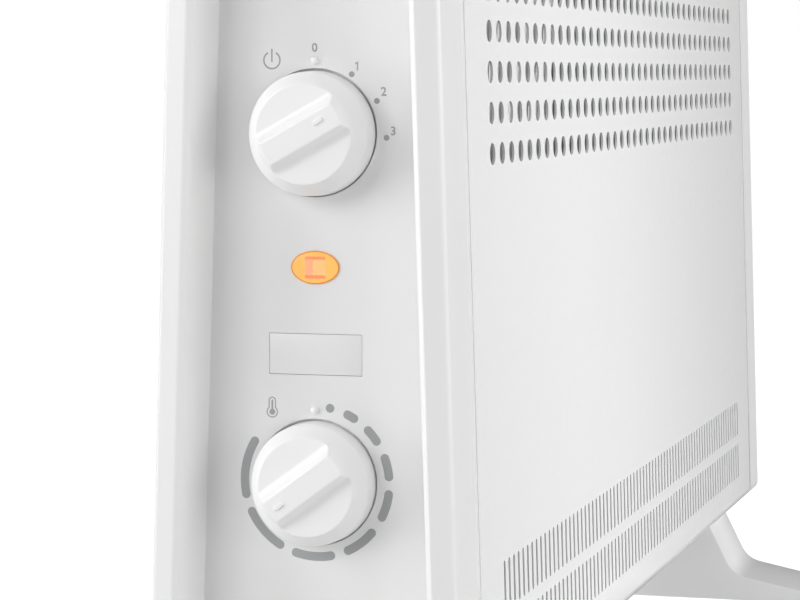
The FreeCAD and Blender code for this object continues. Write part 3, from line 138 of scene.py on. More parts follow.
# Each finish: two close tones that drift over cloudMm, a grain of grainMm that moves the
# roughness between its two values and stands bumpMm high, and what is the same all over.
finishes = {
    # powder enamel on sheet steel: bright white with a faint orange peel
    "enamelledSteel": {"tones": ("F2F2F2", "EFEFEF"), "cloudMm": 90, "grainMm": 2.6, "bumpMm": 0.006,
                       "rough": (0.19, 0.24), "skin": {"IOR": 1.52}},
    # moulded ABS with a fine satin spark texture, drawn coarser than its 0.1 mm so that it shows
    "mouldedAbs": {"tones": ("F2F2F2", "EFEFEF"), "cloudMm": 60, "grainMm": 0.7, "bumpMm": 0.006,
                   "rough": (0.29, 0.36), "skin": {"IOR": 1.54}},
    # the same ABS from a polished tool: smoother, with a soft gloss, its tones painted lighter than the cap's as
    # painted light for the stronger light on the knobs
    "polishedAbsPaintedLight": {"tones": ("FBFBFB", "F8F8F8"), "cloudMm": 25, "grainMm": 1.4, "bumpMm": 0.002,
                    "rough": (0.29, 0.35), "skin": {"IOR": 1.54}},
    # grey pad-printed ink: flat, a little uneven in cover
    "dialInk": {"tones": ("A3A5A6", "AAACAD"), "cloudMm": 4, "grainMm": 0.5, "bumpMm": 0.002,
                "rough": (0.45, 0.6), "skin": {}},
    # hot-dip galvanised sheet: dull metal with a spangle of crystals
    "galvanisedSteel": {"tones": ("B9BCBF", "A4A8AC"), "spangleMm": 7, "grainMm": 3, "bumpMm": 0.004,
                        "rough": (0.34, 0.52), "skin": {"Metallic": 1.0}},
    # bright rolled aluminium: long fine streaks along the rolling
    "rolledAluminium": {"tones": ("D2D3D5", "C6C7CA"), "cloudMm": 14, "grainMm": 1.2, "bumpMm": 0.003,
                        "rough": (0.28, 0.42), "stretch": (0.05, 1, 1), "skin": {"Metallic": 1.0}},
    # zinc-plated screw steel: bright, faintly bluish and slightly cloudy
    "zincPlate": {"tones": ("C3C6CA", "B2B6BB"), "cloudMm": 2.5, "grainMm": 0.6, "bumpMm": 0.003,
                  "rough": (0.29, 0.42), "skin": {"Metallic": 1.0}},
    # stainless element tube, dulled brown and blue by heat
    "heatedStainless": {"tones": ("7E756B", "6B6D76"), "cloudMm": 22, "grainMm": 0.9, "bumpMm": 0.004,
                        "rough": (0.36, 0.55), "skin": {"Metallic": 1.0}},
    # unglazed steatite: cream, matt and very fine
    "steatite": {"tones": ("E8E0CF", "DDD3BF"), "cloudMm": 5, "grainMm": 0.5, "bumpMm": 0.01,
                 "rough": (0.62, 0.78), "skin": {"IOR": 1.6}},
    # moulded phenolic: near black with a dull bloom
    "darkPhenolic": {"tones": ("1B1A19", "24221F"), "cloudMm": 6, "grainMm": 0.8, "bumpMm": 0.004,
                     "rough": (0.38, 0.52), "skin": {"IOR": 1.6}},
    # natural polyamide: milky and waxy
    "paleNylon": {"tones": ("DEDACD", "D3CEC0"), "cloudMm": 8, "grainMm": 0.8, "bumpMm": 0.004,
                  "rough": (0.42, 0.55), "skin": {"IOR": 1.53, "Subsurface Weight": 0.1, "Subsurface Scale": 0.001}},
    # blued spring steel
    "bluedSpring": {"tones": ("5B626E", "6A6D72"), "cloudMm": 3, "grainMm": 0.4, "bumpMm": 0.002,
                    "rough": (0.30, 0.42), "skin": {"Metallic": 1.0}},
    # turned brass: fine rings round the shaft
    "turnedBrass": {"tones": ("C9A55B", "BB954A"), "cloudMm": 3, "grainMm": 0.5, "bumpMm": 0.003,
                    "rough": (0.28, 0.38), "stretch": (1, 0.2, 0.2), "skin": {"Metallic": 1.0}},
    # bare bimetal strip: warm grey with heat stains
    "bareBimetal": {"tones": ("A79A88", "8F867B"), "cloudMm": 5, "grainMm": 0.5, "bumpMm": 0.002,
                    "rough": (0.30, 0.46), "skin": {"Metallic": 1.0}},
    # clear orange polycarbonate: glossy, tinted, and seen through to the pocket behind it
    "orangeClear": {"tones": ("FFB650", "FFAE44"), "cloudMm": 5, "grainMm": 2, "bumpMm": 0.002,
                    "rough": (0.06, 0.12), "skin": {"IOR": 1.58, "Alpha": 0.2}},
    # the same plastic in depth, filled with light from behind
    "orangeDeep": {"tones": ("FFCE82", "FFC876"), "cloudMm": 4, "grainMm": 1, "bumpMm": 0.002,
                   "rough": (0.30, 0.40), "skin": {"Emission Color": linear("FFB857"), "Emission Strength": 0.38}},
    # a ring round its front edge: painted shade, a deeper orange standing in for the dark line along the lens's rim,
    # with a weaker painted glow
    "orangeRimShade": {"tones": ("EE9A2A", "E8901E"), "cloudMm": 4, "grainMm": 1, "bumpMm": 0.002,
                   "rough": (0.30, 0.40), "skin": {"Emission Color": linear("E08A18"), "Emission Strength": 0.2}},
    # side walls of the bulb pocket, pink in the light of the neon
    "neonWall": {"tones": ("FFA58F", "FF9C84"), "cloudMm": 3, "grainMm": 1, "bumpMm": 0.002,
                 "rough": (0.35, 0.45), "skin": {"Emission Color": linear("FFA8A2"), "Emission Strength": 0.75}},
    # frosted floor of the pocket, pale with its glow
    "neonFloor": {"tones": ("FFD4AC", "FFCDA0"), "cloudMm": 3, "grainMm": 1, "bumpMm": 0.002,
                  "rough": (0.35, 0.45), "skin": {"Emission Color": linear("FFD09A"), "Emission Strength": 0.8}},
    # ledges over the pocket, a deeper coral: painted light of the neon, weaker than on the floor
    "neonLedge": {"tones": ("FF9A7C", "FF9070"), "cloudMm": 3, "grainMm": 1, "bumpMm": 0.002,
                  "rough": (0.35, 0.45), "skin": {"Emission Color": linear("FF8A62"), "Emission Strength": 0.35}},
    # neon bulb glass, clear with a faint warm tint
    "bulbGlass": {"tones": ("F6D9CB", "F3D0C0"), "cloudMm": 4, "grainMm": 1, "bumpMm": 0.001,
                  "rough": (0.03, 0.07), "skin": {"IOR": 1.5, "Alpha": 0.12}},
    # moulded rubber: dark grey, matt, slightly dusty
    "greyRubber": {"tones": ("4A4A4A", "535352"), "cloudMm": 9, "grainMm": 0.6, "bumpMm": 0.01,
                   "rough": (0.66, 0.82), "skin": {"IOR": 1.5}},
    # black rubber bush
    "blackRubber": {"tones": ("1E1E1E", "272726"), "cloudMm": 5, "grainMm": 0.5, "bumpMm": 0.008,
                    "rough": (0.55, 0.72), "skin": {"IOR": 1.5}},
    # silicone wire insulation: red, waxy
    "redSilicone": {"tones": ("A33A31", "97332B"), "cloudMm": 6, "grainMm": 0.5, "bumpMm": 0.004,
                    "rough": (0.45, 0.58), "skin": {"IOR": 1.43}},
    # studio floor of white card, lit from below
    "litFloor": {"tones": ("E6E6E6", "E4E4E4"), "cloudMm": 900, "grainMm": 4, "bumpMm": 0.01,
                 "rough": (0.85, 0.95), "skin": {"Emission Color": (1, 1, 1, 1), "Emission Strength": 0.86}},
}


noiseDetail = {"grain": 1.5, "cloud": 3.0}


def mixFinish(name, recipe):
    mixed = bpy.data.materials.new(name)
    mixed.use_nodes = True
    tree = mixed.node_tree
    tree.nodes.clear()
    spot = addNode(tree, "ShaderNodeTexCoord", {}, {}).outputs["Object"]
    stretch = recipe.get("stretch", (1, 1, 1))
    laid = addNode(tree, "ShaderNodeMapping", {"Scale": stretch}, {"Vector": spot}).outputs[0]
    grain = addNode(tree, "ShaderNodeTexNoise",
                    {"Scale": 1 / (recipe["grainMm"] * mm), "Detail": noiseDetail["grain"]},
                    {"Vector": laid}).outputs["Fac"]
    if "spangleMm" in recipe:
        drift = addNode(tree, "ShaderNodeTexVoronoi", {"Scale": 1 / (recipe["spangleMm"] * mm)},
                        {"Vector": laid}).outputs["Color"]
    else:
        drift = addNode(tree, "ShaderNodeTexNoise",
                        {"Scale": 1 / (recipe["cloudMm"] * mm), "Detail": noiseDetail["cloud"]},
                        {"Vector": laid}).outputs["Fac"]
    light, dark = recipe["tones"]
    # inputs 6 and 7 of a mix node are its two colours
    tone = addNode(tree, "ShaderNodeMix", {"data_type": "RGBA", 6: linear(light), 7: linear(dark)}, {0: drift})
    low, high = recipe["rough"]
    sheen = addNode(tree, "ShaderNodeMapRange", {"To Min": low, "To Max": high}, {"Value": grain})
    relief = addNode(tree, "ShaderNodeBump", {"Distance": recipe["bumpMm"] * mm}, {"Height": grain})
    skin = addNode(tree, "ShaderNodeBsdfPrincipled", recipe["skin"],
                   {"Base Color": tone.outputs[2], "Roughness": sheen.outputs[0], "Normal": relief.outputs[0]})
    addNode(tree, "ShaderNodeOutputMaterial", {}, {"Surface": skin.outputs[0]})
    return mixed


finish = {name: mixFinish(name, recipe) for name, recipe in finishes.items()}

nodeFinish = {
    "enamelledSteel": ["front_panel", "rear_panel", "top_grille"],
    "mouldedAbs": ["control_end_cap", "plain_end_cap", "left_foot", "right_foot", "blanking_plate"],
    "polishedAbsPaintedLight": ["selector_knob", "thermostat_knob"],
    "galvanisedSteel": ["base_plate", "left_bulkhead", "right_bulkhead", "cutout_bracket", "thermostat_frame"],
    "rolledAluminium": ["heat_shield", "low_heat_fins", "high_heat_fins"],
    "zincPlate": ["foot_screws", "cap_screws", "rear_screws", "selector_screws", "thermostat_nut"],
    "heatedStainless": ["low_heat_element", "high_heat_element"],
    "steatite": ["ceramic_bushes", "thermostat_stack"],
    "darkPhenolic": ["selector_switch", "thermal_cutout"],
    "paleNylon": ["selector_cover", "terminal_block", "selector_shaft"],
    "bluedSpring": ["selector_clip", "thermostat_clip"],
    "turnedBrass": ["thermostat_shaft"],
    "bareBimetal": ["bimetal_strip"],
    "orangeClear": ["indicator_lens"],
    "bulbGlass": ["neon_lamp"],
    "greyRubber": ["foot_pads"],
    "blackRubber": ["cord_gland"],
    "redSilicone": ["inner_wires"],
}


def dress(piece, *names):
    piece.data.materials.clear()
    for name in names:
        piece.data.materials.append(finish[name])


for name, members in nodeFinish.items():
    for member in members:
        dress(nodes[member], name)
print("finishes mixed:", len(finish))

# Places on the control face are given in mm as the user sees it: to the right and up.
faceX = -279.8
facePlane = Matrix(((0, 0, -1, faceX * mm), (-1, 0, 0, 0), (0, 1, 0, 0), (0, 0, 0, 1)))


def onFace(right, up, out=0.0):
    return Vector((faceX - out, -right, up)) * mm


# the two knobs: a fine net of quads is dropped on the turned form and its edges are eased as a moulding's are,
# then the skirt and the hollow behind it are drawn from the net's rim, each step a radius and a place along X
knobForm = {
    "rim": 18.6,
    "rimX": -286.78,
    "topX": -294.1,
    "netSides": 640,
    "netLift": 20.0,
    "rimNear": 0.001,
    "easeInside": 0.3,
    "easeFactor": 0.5,
    "easeTimes": 2,
    "skirt": ((18.82, -286.4), (18.92, -285.91), (19.2, -278.6), (16.6, -278.6), (16.6, -285.1),
              (5.5, -285.1), (5.5, -282.3), (3.05, -282.3), (3.05, -291.3)),
    "pointerLength": 3.5,
    "pointerWidth": 1.6,
    "pointerTop": 14.85,
    "pointerDepth": 1.0,
    "pointerEdge": 0.3,
    "pointerSides": 40,
    "pointerSteps": 4,
    "smooth": 40,
}
# each knob: the height of its axis, where its pointer stands (degrees clockwise from the top, and mm out from the
# axis) and how much further out than the drawn form it sits
selectorDial = {"up": 235.2, "setting": 54.0, "reach": 6.85, "lift": 1.1}
thermostatDial = {"up": 127.2, "setting": 233.5, "reach": 9.5, "lift": 0.0}


def knobPointer(up, setting, reach, lift):  # a raised pill with a rounded edge, near the end of the grip
    depth = knobForm["pointerDepth"] * mm
    bpy.ops.mesh.primitive_cylinder_add(vertices=knobForm["pointerSides"], depth=depth,
                                        radius=knobForm["pointerWidth"] / 2 * mm)
    pill = bpy.context.object
    spread = (knobForm["pointerLength"] - knobForm["pointerWidth"]) / 2 * mm
    for side in (-1, 1):
        pick(pill, "VERT", lambda points: points[0].y * side > hair)
        bpy.ops.transform.translate(value=(0, side * spread, 0))
        doneEditing()
    pick(pill, "FACE", lambda points: all(point.z > depth / 2 - hair for point in points))
    bpy.ops.mesh.bevel(offset=knobForm["pointerEdge"] * mm, segments=knobForm["pointerSteps"])
    doneEditing()
    turn = math.radians(setting)
    spot = Vector((reach * math.sin(turn), up + reach * math.cos(turn), knobForm["pointerTop"] + lift)) * mm
    seat = Matrix.Translation(spot - Vector((0, 0, depth / 2)))
    return setDown(pill, facePlane @ seat @ Matrix.Rotation(-turn, 4, "Z"))


def mouldKnob(name, node, body, up, setting, reach, lift):
    rim, back = knobForm["rim"], knobForm["rimX"] - lift
    axis = Vector((back, 0, up)) * mm
    bpy.ops.mesh.primitive_circle_add(vertices=knobForm["netSides"], radius=rim * mm, rotation=(0, math.pi / 2, 0),
                                      location=axis - Vector((knobForm["netLift"] * mm, 0, 0)))
    piece = setDown(bpy.context.object)
    editAll(piece)
    bpy.ops.mesh.fill_grid(span=knobForm["netSides"] // 4)
    doneEditing()
    work(piece, "SHRINKWRAP", target=nodes[node], wrap_method="PROJECT", use_project_x=True,
         use_positive_direction=True)
    top = Vector((knobForm["topX"] - lift, 0, 0)) * mm
    pick(piece, "VERT", lambda points: points[0].x < top.x)
    bpy.ops.transform.resize(value=(0, 1, 1), center_override=top)
    doneEditing()
    eased = (rim - knobForm["easeInside"]) * mm
    pick(piece, "VERT", lambda points: math.hypot(points[0].y, points[0].z - axis.z) < eased)
    bpy.ops.mesh.vertices_smooth(factor=knobForm["easeFactor"], repeat=knobForm["easeTimes"],
                                 xaxis=True, yaxis=False, zaxis=False)
    doneEditing()
    onRim = (rim - knobForm["rimNear"]) * mm
    pick(piece, "EDGE", lambda points: all(math.hypot(point.y, point.z - axis.z) > onRim for point in points))
    bpy.ops.transform.resize(value=(0, 1, 1), center_override=axis)
    for radius, x in knobForm["skirt"]:
        bpy.ops.mesh.extrude_region_move(TRANSFORM_OT_translate={"value": ((x - lift - back) * mm, 0, 0)})
        bpy.ops.transform.resize(value=(1, radius / rim, radius / rim), center_override=axis)
        rim, back = radius, x - lift
    bpy.ops.mesh.edge_face_add()
    bpy.ops.mesh.select_all(action="SELECT")
    bpy.ops.mesh.normals_make_consistent(inside=False)
    doneEditing()
    piece = joined([piece, knobPointer(up, setting, reach, lift)], name)
    smoothed(piece, knobForm["smooth"])
    # the knob takes the lighter ABS, whose extra brightness is painted light
    dress(piece, "polishedAbsPaintedLight")
    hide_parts(node)
    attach(piece, body)


mouldKnob("selectorKnob", "selector_knob", "selector", **selectorDial)
mouldKnob("thermostatKnob", "thermostat_knob", "thermostat", **thermostatDial)
print("knobs moulded")


# printed marks, drawn as flat loops in mm and raised by the thickness of the ink
dialPrint = {"inkMm": 0.03, "steps": 14, "digitHeight": 2.7, "digitWeight": 0.016}


def around(centre, radius, start, end, steps=None):  # points clockwise from the top, in degrees
    count = steps or dialPrint["steps"] * 2
    turns = [math.radians(start + (end - start) * step / count) for step in range(count + 1)]
    return [(centre[0] + radius * math.sin(turn), centre[1] + radius * math.cos(turn)) for turn in turns]


def dotLoop(centre, radius):
    return around(centre, radius, 0, 360)[:-1]


def arcLoop(centre, radius, start, end, width):  # a bent stroke with round ends
    half = width / 2
    tail, head = (around(centre, radius, turn, turn, 1)[0] for turn in (start, end))
    return (around(centre, radius + half, start, end) + around(head, half, end, end + 180)
            + around(centre, radius - half, end, start) + around(tail, half, start + 180, start + 360))


def barLoop(low, high, width):  # an upright stroke with round ends
    return around(high, width / 2, -90, 90) + around(low, width / 2, 90, 270)


def stemLoop(bulb, bulbRadius, stemRadius, top):  # a bulb with a stem standing on it
    meet = math.degrees(math.asin(stemRadius / bulbRadius))
    return around(bulb, bulbRadius, meet, 360 - meet) + around((bulb[0], top), stemRadius, -90, 90)


def printed(piece, name):  # a flat mesh in mm becomes ink on the face
    piece.name = name
    setDown(piece, facePlane @ Matrix.Scale(mm, 4))
    work(piece, "SOLIDIFY", thickness=dialPrint["inkMm"] * mm, offset=1.0)
    dress(piece, "dialInk")
    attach(piece, "casing")


def inkLoops(name, loops):
    flat = bpy.data.curves.new(name, "CURVE")
    flat.dimensions = "2D"
    flat.fill_mode = "BOTH"
    for loop in loops:
        line = flat.splines.new("POLY")
        line.points.add(len(loop) - 1)
        line.points.foreach_set("co", [value for right, up in loop for value in (right, up, 0, 1)])
        line.use_cyclic_u = True
    piece = bpy.data.objects.new(name, flat)
    bpy.context.scene.collection.objects.link(piece)
    takeUp(piece)
    bpy.ops.object.convert(target="MESH")
    printed(bpy.context.object, name)


def inkDigit(digit, centre):
    bpy.ops.object.text_add()
    words = bpy.context.object
    words.data.body = digit
    words.data.offset = dialPrint["digitWeight"]
    bpy.ops.object.convert(target="MESH")
    piece = bpy.context.object
    corners = [corner.co for corner in piece.data.vertices]
    low = Vector((min(c.x for c in corners), min(c.y for c in corners), 0))
    high = Vector((max(c.x for c in corners), max(c.y for c in corners), 0))
    size = dialPrint["digitHeight"] / (high.y - low.y)
    centred = Matrix.Translation(-(low + high) / 2)
    piece.matrix_world = Matrix.Translation((*centre, 0)) @ Matrix.Scale(size, 4) @ centred
    setDown(piece)
    printed(piece, "digit" + digit)


# heat selector: a dot and a number for each step, and the switch sign
selectorScale = {
    "dots": ((11.75, 253.3), (19.75, 245.2), (22.8, 234.0)),
    "dotRadius": 0.9,
    "digits": {"0": (-0.1, 261.5), "2": (21.9, 248.1), "3": (24.9, 236.1)},
    "oneCentre": (13.35, 255.8),
    "one": ((0.04, -1.32), (0.44, -1.32), (0.44, 1.32), (0.1, 1.32), (-0.54, 0.84), (-0.36, 0.5), (0.04, 0.82)),
    "signCentre": (-13.85, 257.6),
    "signRadius": 2.6,
    "signBar": (-0.35, 3.3),
    "signStroke": 0.48,
    "signGap": 34,
}
inkLoops("selectorDots", [dotLoop(spot, selectorScale["dotRadius"]) for spot in selectorScale["dots"]])
for digit, spot in selectorScale["digits"].items():
    inkDigit(digit, spot)
oneX, oneZ = selectorScale["oneCentre"]
inkLoops("digit1", [[(oneX + right, oneZ + up) for right, up in selectorScale["one"]]])
signX, signZ = selectorScale["signCentre"]
signGap, signStroke = selectorScale["signGap"], selectorScale["signStroke"]
inkLoops("switchSign", [
    arcLoop((signX, signZ), selectorScale["signRadius"], signGap, 360 - signGap, signStroke),
    barLoop(*((signX, signZ + reach) for reach in selectorScale["signBar"]), signStroke),
])

# thermostat: strokes that lengthen round the dial, and the thermometer sign
thermostatScale = {
    "centre": (0.25, 127.55),
    "radius": 23.4,
    "stroke": 2.75,
    "dotAt": 10.8,
    "strokes": ((25.4, 31), (45.3, 55.5), (69.9, 84.1), (97.7, 115.9), (130.8, 154.4), (168.7, 196.8),
                (210.6, 244.4), (258.5, 300.9)),
    "signBulb": (-14.1, 148.9),
    "signTop": 152.4,
    "signOuter": (1.85, 1.2),
    "signInner": (1.5, 0.85),
    "signFill": (0.95, 0.3),
}
dialCentre, dialRadius, dialStroke = (thermostatScale[part] for part in ("centre", "radius", "stroke"))
dotAt = thermostatScale["dotAt"]
dialDot = dotLoop(around(dialCentre, dialRadius, dotAt, dotAt, 1)[0], dialStroke / 2)
dialStrokes = [arcLoop(dialCentre, dialRadius, *ends, dialStroke) for ends in thermostatScale["strokes"]]
inkLoops("thermostatStrokes", dialStrokes + [dialDot])
inkLoops("thermometerSign", [
    stemLoop(thermostatScale["signBulb"], *thermostatScale[part], thermostatScale["signTop"])
    for part in ("signOuter", "signInner", "signFill")
])
print("dials printed")

# raised index dots above the knobs
indexDot = {"radius": 1.32, "rise": 1.05, "sides": 40, "rings": 20, "smooth": 50,
            "spots": {"selectorIndex": (-0.1, 257.5), "thermostatIndex": (-0.3, 149.8)}}
for name, spot in indexDot["spots"].items():
    centre = onFace(*spot)
    bpy.ops.mesh.primitive_uv_sphere_add(segments=indexDot["sides"], ring_count=indexDot["rings"],
                                         radius=indexDot["radius"] * mm, location=centre)
    piece = bpy.context.object
    piece.name = name
    setDown(piece)
    editAll(piece)
    bpy.ops.transform.resize(value=(indexDot["rise"] / indexDot["radius"], 1, 1), center_override=centre)
    bpy.ops.mesh.bisect(plane_co=centre, plane_no=(1, 0, 0), use_fill=True, clear_outer=True)
    doneEditing()
    smoothed(piece, indexDot["smooth"])
    # the dots take the lighter ABS, whose extra brightness is painted light
    dress(piece, "polishedAbsPaintedLight")
    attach(piece, "casing")
print("index dots raised")

# mains lamp: an oval dome over a deeper oval with a square pocket for the bulb
lamp = {
    "up": 194.0, "length": 15.5, "breadth": 10.3, "edge": 0.3, "rise": 1.1, "sides": 72, "rings": 36, "smooth": 40,
    "coreGap": 0.06, "coreInset": 0.95, "coreDepth": 9.0, "rim": 0.35, "rimShadeFrom": 0.93,
    "pocketWidth": 6.6, "pocketHeight": 6.8, "pocketDepth": 8.0, "wallNear": 0.05, "floorNear": 0.1,
    "ledge": 0.95, "ledgeRise": 0.12, "ledgeDepth": 1.0, "ledgeEdge": 0.15, "ledgeSteps": 2,
}
lampSpot = onFace(0, lamp["up"])


def ovalDome():
    base = onFace(0, lamp["up"], lamp["edge"])
    bpy.ops.mesh.primitive_uv_sphere_add(segments=lamp["sides"], ring_count=lamp["rings"], radius=1, location=base,
                                         rotation=(0, math.pi / 2, 0))
    piece = bpy.context.object
    piece.scale = (lamp["breadth"] / 2 * mm, lamp["length"] / 2 * mm, lamp["rise"] * mm)
    setDown(piece)
    editAll(piece)
    bpy.ops.mesh.bisect(plane_co=base, plane_no=(1, 0, 0), clear_outer=True)
    doneEditing()
    pick(piece, "EDGE", lambda points: all(abs(point.x - base.x) < hair for point in points))
    bpy.ops.mesh.extrude_region_move(TRANSFORM_OT_translate={"value": (lamp["edge"] * mm, 0, 0)})
    bpy.ops.mesh.edge_face_add()
    bpy.ops.mesh.select_all(action="SELECT")
    bpy.ops.mesh.normals_make_consistent(inside=False)
    doneEditing()
    smoothed(piece, lamp["smooth"])
    return piece


def ovalCore():
    sheet = lamp["edge"] * mm
    bpy.ops.mesh.primitive_cylinder_add(vertices=lamp["sides"], radius=1, depth=sheet, rotation=(0, math.pi / 2, 0),
                                        location=lampSpot - Vector((sheet / 2, 0, 0)))
    core = bpy.context.object
    core.scale = ((lamp["breadth"] / 2 - lamp["coreGap"]) * mm, (lamp["length"] / 2 - lamp["coreGap"]) * mm, 1)
    setDown(core)
    pick(core, "FACE", lambda points: all(point.x < lampSpot.x - hair for point in points))
    bpy.ops.mesh.inset(thickness=lamp["rim"] * mm)
    doneEditing()
    pick(core, "FACE", lambda points: all(point.x > lampSpot.x - hair for point in points))
    bpy.ops.mesh.inset(thickness=lamp["coreInset"] * mm)
    bpy.ops.mesh.extrude_region_move(TRANSFORM_OT_translate={"value": (lamp["coreDepth"] * mm, 0, 0)})
    doneEditing()
    hollow = lamp["pocketDepth"] * mm
    bpy.ops.mesh.primitive_cube_add(size=1, location=lampSpot + Vector((hollow / 2 - sheet, 0, 0)))
    pocket = bpy.context.object
    pocket.scale = (hollow + 2 * sheet, lamp["pocketWidth"] * mm, lamp["pocketHeight"] * mm)
    setDown(pocket)
    work(core, "BOOLEAN", operation="DIFFERENCE", object=pocket, solver="EXACT")
    bpy.data.objects.remove(pocket)
    return core


lens = ovalDome()
lens.name = "lampLens"
dress(lens, "orangeClear")
core = ovalCore()
core.name = "lampCore"
coreFinish = ("orangeDeep", "neonWall", "neonFloor", "orangeRimShade")
dress(core, *coreFinish)
# faces of the core sorted: pocket walls and floor take the painted light of the neon, the outer ring of the front the
# painted shade of the rim
for wall in core.data.polygons:
    middle = (wall.center - lampSpot) / mm
    inPocket = (abs(middle.y) < lamp["pocketWidth"] / 2 + lamp["wallNear"]
                and abs(middle.z) < lamp["pocketHeight"] / 2 + lamp["wallNear"])
    outward = math.hypot(middle.y / lamp["length"], middle.z / lamp["breadth"]) * 2
    part = "orangeDeep"
    if inPocket and lamp["floorNear"] < middle.x < lamp["pocketDepth"] + lamp["floorNear"]:
        part = "neonFloor" if middle.x > lamp["pocketDepth"] - lamp["floorNear"] else "neonWall"
    elif middle.x < lamp["floorNear"] and outward > lamp["rimShadeFrom"]:
        part = "orangeRimShade"
    wall.material_index = coreFinish.index(part)
ledges = []
for side in (-1, 1):
    up = lamp["up"] + side * (lamp["pocketHeight"] - lamp["ledge"]) / 2
    out = lamp["edge"] + lamp["ledgeRise"] - lamp["ledgeDepth"] / 2
    bpy.ops.mesh.primitive_cube_add(size=1, location=onFace(0, up, out))
    ledge = bpy.context.object
    ledge.scale = (lamp["ledgeDepth"] * mm, lamp["pocketWidth"] * mm, lamp["ledge"] * mm)
    setDown(ledge)
    work(ledge, "BEVEL", width=lamp["ledgeEdge"] * mm, segments=lamp["ledgeSteps"])
    ledges.append(ledge)
ledge = joined(ledges, "lampLedges")
dress(ledge, "neonLedge")
for piece in (lens, core, ledge):
    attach(piece, "casing")
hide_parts("indicator_lens")
print("lamp made")

# plate in the blanked opening: grown until only a hairline is left round it, its front edge softened
plate = {"up": 167.1, "half": 14.75, "rise": 6.17, "near": 0.02, "grow": 0.1, "edge": 0.1, "steps": 2, "smooth": 30}
piece = copyOf("blanking_plate", "blankingPlate")
for side in (-1, 1):
    end, level = side * plate["half"] * mm, (plate["up"] + side * plate["rise"]) * mm
    pick(piece, "VERT", lambda points: abs(points[0].y - end) < plate["near"] * mm)
    bpy.ops.transform.translate(value=(0, side * plate["grow"] * mm, 0))
    doneEditing()
    pick(piece, "VERT", lambda points: abs(points[0].z - level) < plate["near"] * mm)
    bpy.ops.transform.translate(value=(0, 0, side * plate["grow"] * mm))
    doneEditing()
pick(piece, "EDGE", lambda points: all(point.x < faceX * mm + hair for point in points))
bpy.ops.mesh.bevel(offset=plate["edge"] * mm, segments=plate["steps"])
doneEditing()
smoothed(piece, plate["smooth"])
dress(piece, "mouldedAbs")
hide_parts("blanking_plate")
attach(piece, "casing")
print("plate fitted")

# feet: the moulded form with its long edges rounded, apart from the arch and what goes up past the neck
footEdge = {"x": 205.0, "halfWidth": 23.0, "archReach": 71.2, "archTop": 12.2, "neckLimit": 48.1, "round": 2.6,
            "steps": 4, "smooth": 32}


def isLongEdge(points, middle):
    onSide = all(abs(abs(point.x / mm - middle) - footEdge["halfWidth"]) < hair / mm for point in points)
    inArch = all(abs(point.y / mm) < footEdge["archReach"] and point.z / mm < footEdge["archTop"] for point in points)
    return onSide and not inArch and all(point.z / mm < footEdge["neckLimit"] for point in points)


for name, node, middle in (("leftFoot", "left_foot", -footEdge["x"]), ("rightFoot", "right_foot", footEdge["x"])):
    piece = copyOf(node, name)
    pick(piece, "EDGE", lambda points: isLongEdge(points, middle))
    bpy.ops.mesh.bevel(offset=footEdge["round"] * mm, segments=footEdge["steps"], clamp_overlap=True)
    doneEditing()
    smoothed(piece, footEdge["smooth"])
    dress(piece, "mouldedAbs")
    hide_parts(node)
    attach(piece, "casing")
print("feet rounded")

# rubber pads under the feet: rounded blocks with a shallow cup below
footPad = {"x": 205.0, "y": 88.0, "width": 36.0, "length": 26.0, "height": 3.0, "edge": 0.7, "steps": 3,
           "rim": 3.0, "cup": 0.8, "smooth": 40}
pads = []
for x in (-footPad["x"], footPad["x"]):
    for y in (-footPad["y"], footPad["y"]):
        bpy.ops.mesh.primitive_cube_add(size=1, location=Vector((x, y, footPad["height"] / 2)) * mm)
        pad = bpy.context.object
        pad.scale = Vector((footPad["width"], footPad["length"], footPad["height"])) * mm
        setDown(pad)
        work(pad, "BEVEL", width=footPad["edge"] * mm, segments=footPad["steps"])
        pick(pad, "FACE", lambda points: len(points) == 4 and all(point.z < hair for point in points))
        bpy.ops.mesh.inset(thickness=footPad["rim"] * mm)
        bpy.ops.transform.translate(value=(0, 0, footPad["cup"] * mm))
        doneEditing()
        pads.append(pad)
pad = joined(pads, "footPads")
smoothed(pad, footPad["smooth"])
dress(pad, "greyRubber")
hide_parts("foot_pads")
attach(pad, "casing")
print("pads moulded")

# pan-head screws with a cross recess, modelled once and copied
panScrew = {"head": 3.2, "headHeight": 2.0, "headSides": 40, "dome": 0.9, "domeSteps": 4, "crossLength": 3.6,
            "crossWidth": 0.75, "crossDepth": 1.2, "shankSides": 24, "tipShare": 0.4, "tipSteps": 2, "smooth": 35}


def makeScrew(shank, length):  # head below its seat at the origin, shank up
    height = panScrew["headHeight"] * mm
    bpy.ops.mesh.primitive_cylinder_add(vertices=panScrew["headSides"], radius=panScrew["head"] * mm, depth=height,
                                        location=(0, 0, -height / 2))
    head = setDown(bpy.context.object)
    pick(head, "FACE", lambda points: all(point.z < -height + hair for point in points))
    bpy.ops.mesh.bevel(offset=panScrew["dome"] * mm, segments=panScrew["domeSteps"])
    doneEditing()
    for turn in (0, math.pi / 2):
        bpy.ops.mesh.primitive_cube_add(size=1, location=(0, 0, -height), rotation=(0, 0, turn))
        slot = bpy.context.object
        slot.scale = Vector((panScrew["crossLength"], panScrew["crossWidth"], 2 * panScrew["crossDepth"])) * mm
        setDown(slot)
        work(head, "BOOLEAN", operation="DIFFERENCE", object=slot, solver="EXACT")
        bpy.data.objects.remove(slot)
    bpy.ops.mesh.primitive_cylinder_add(vertices=panScrew["shankSides"], radius=shank * mm, depth=length * mm,
                                        location=(0, 0, length / 2 * mm))
    stem = setDown(bpy.context.object)
    pick(stem, "FACE", lambda points: all(point.z > length * mm - hair for point in points))
    bpy.ops.mesh.bevel(offset=panScrew["tipShare"] * shank * mm, segments=panScrew["tipSteps"])
    doneEditing()
    return joined([head, stem], "screw")


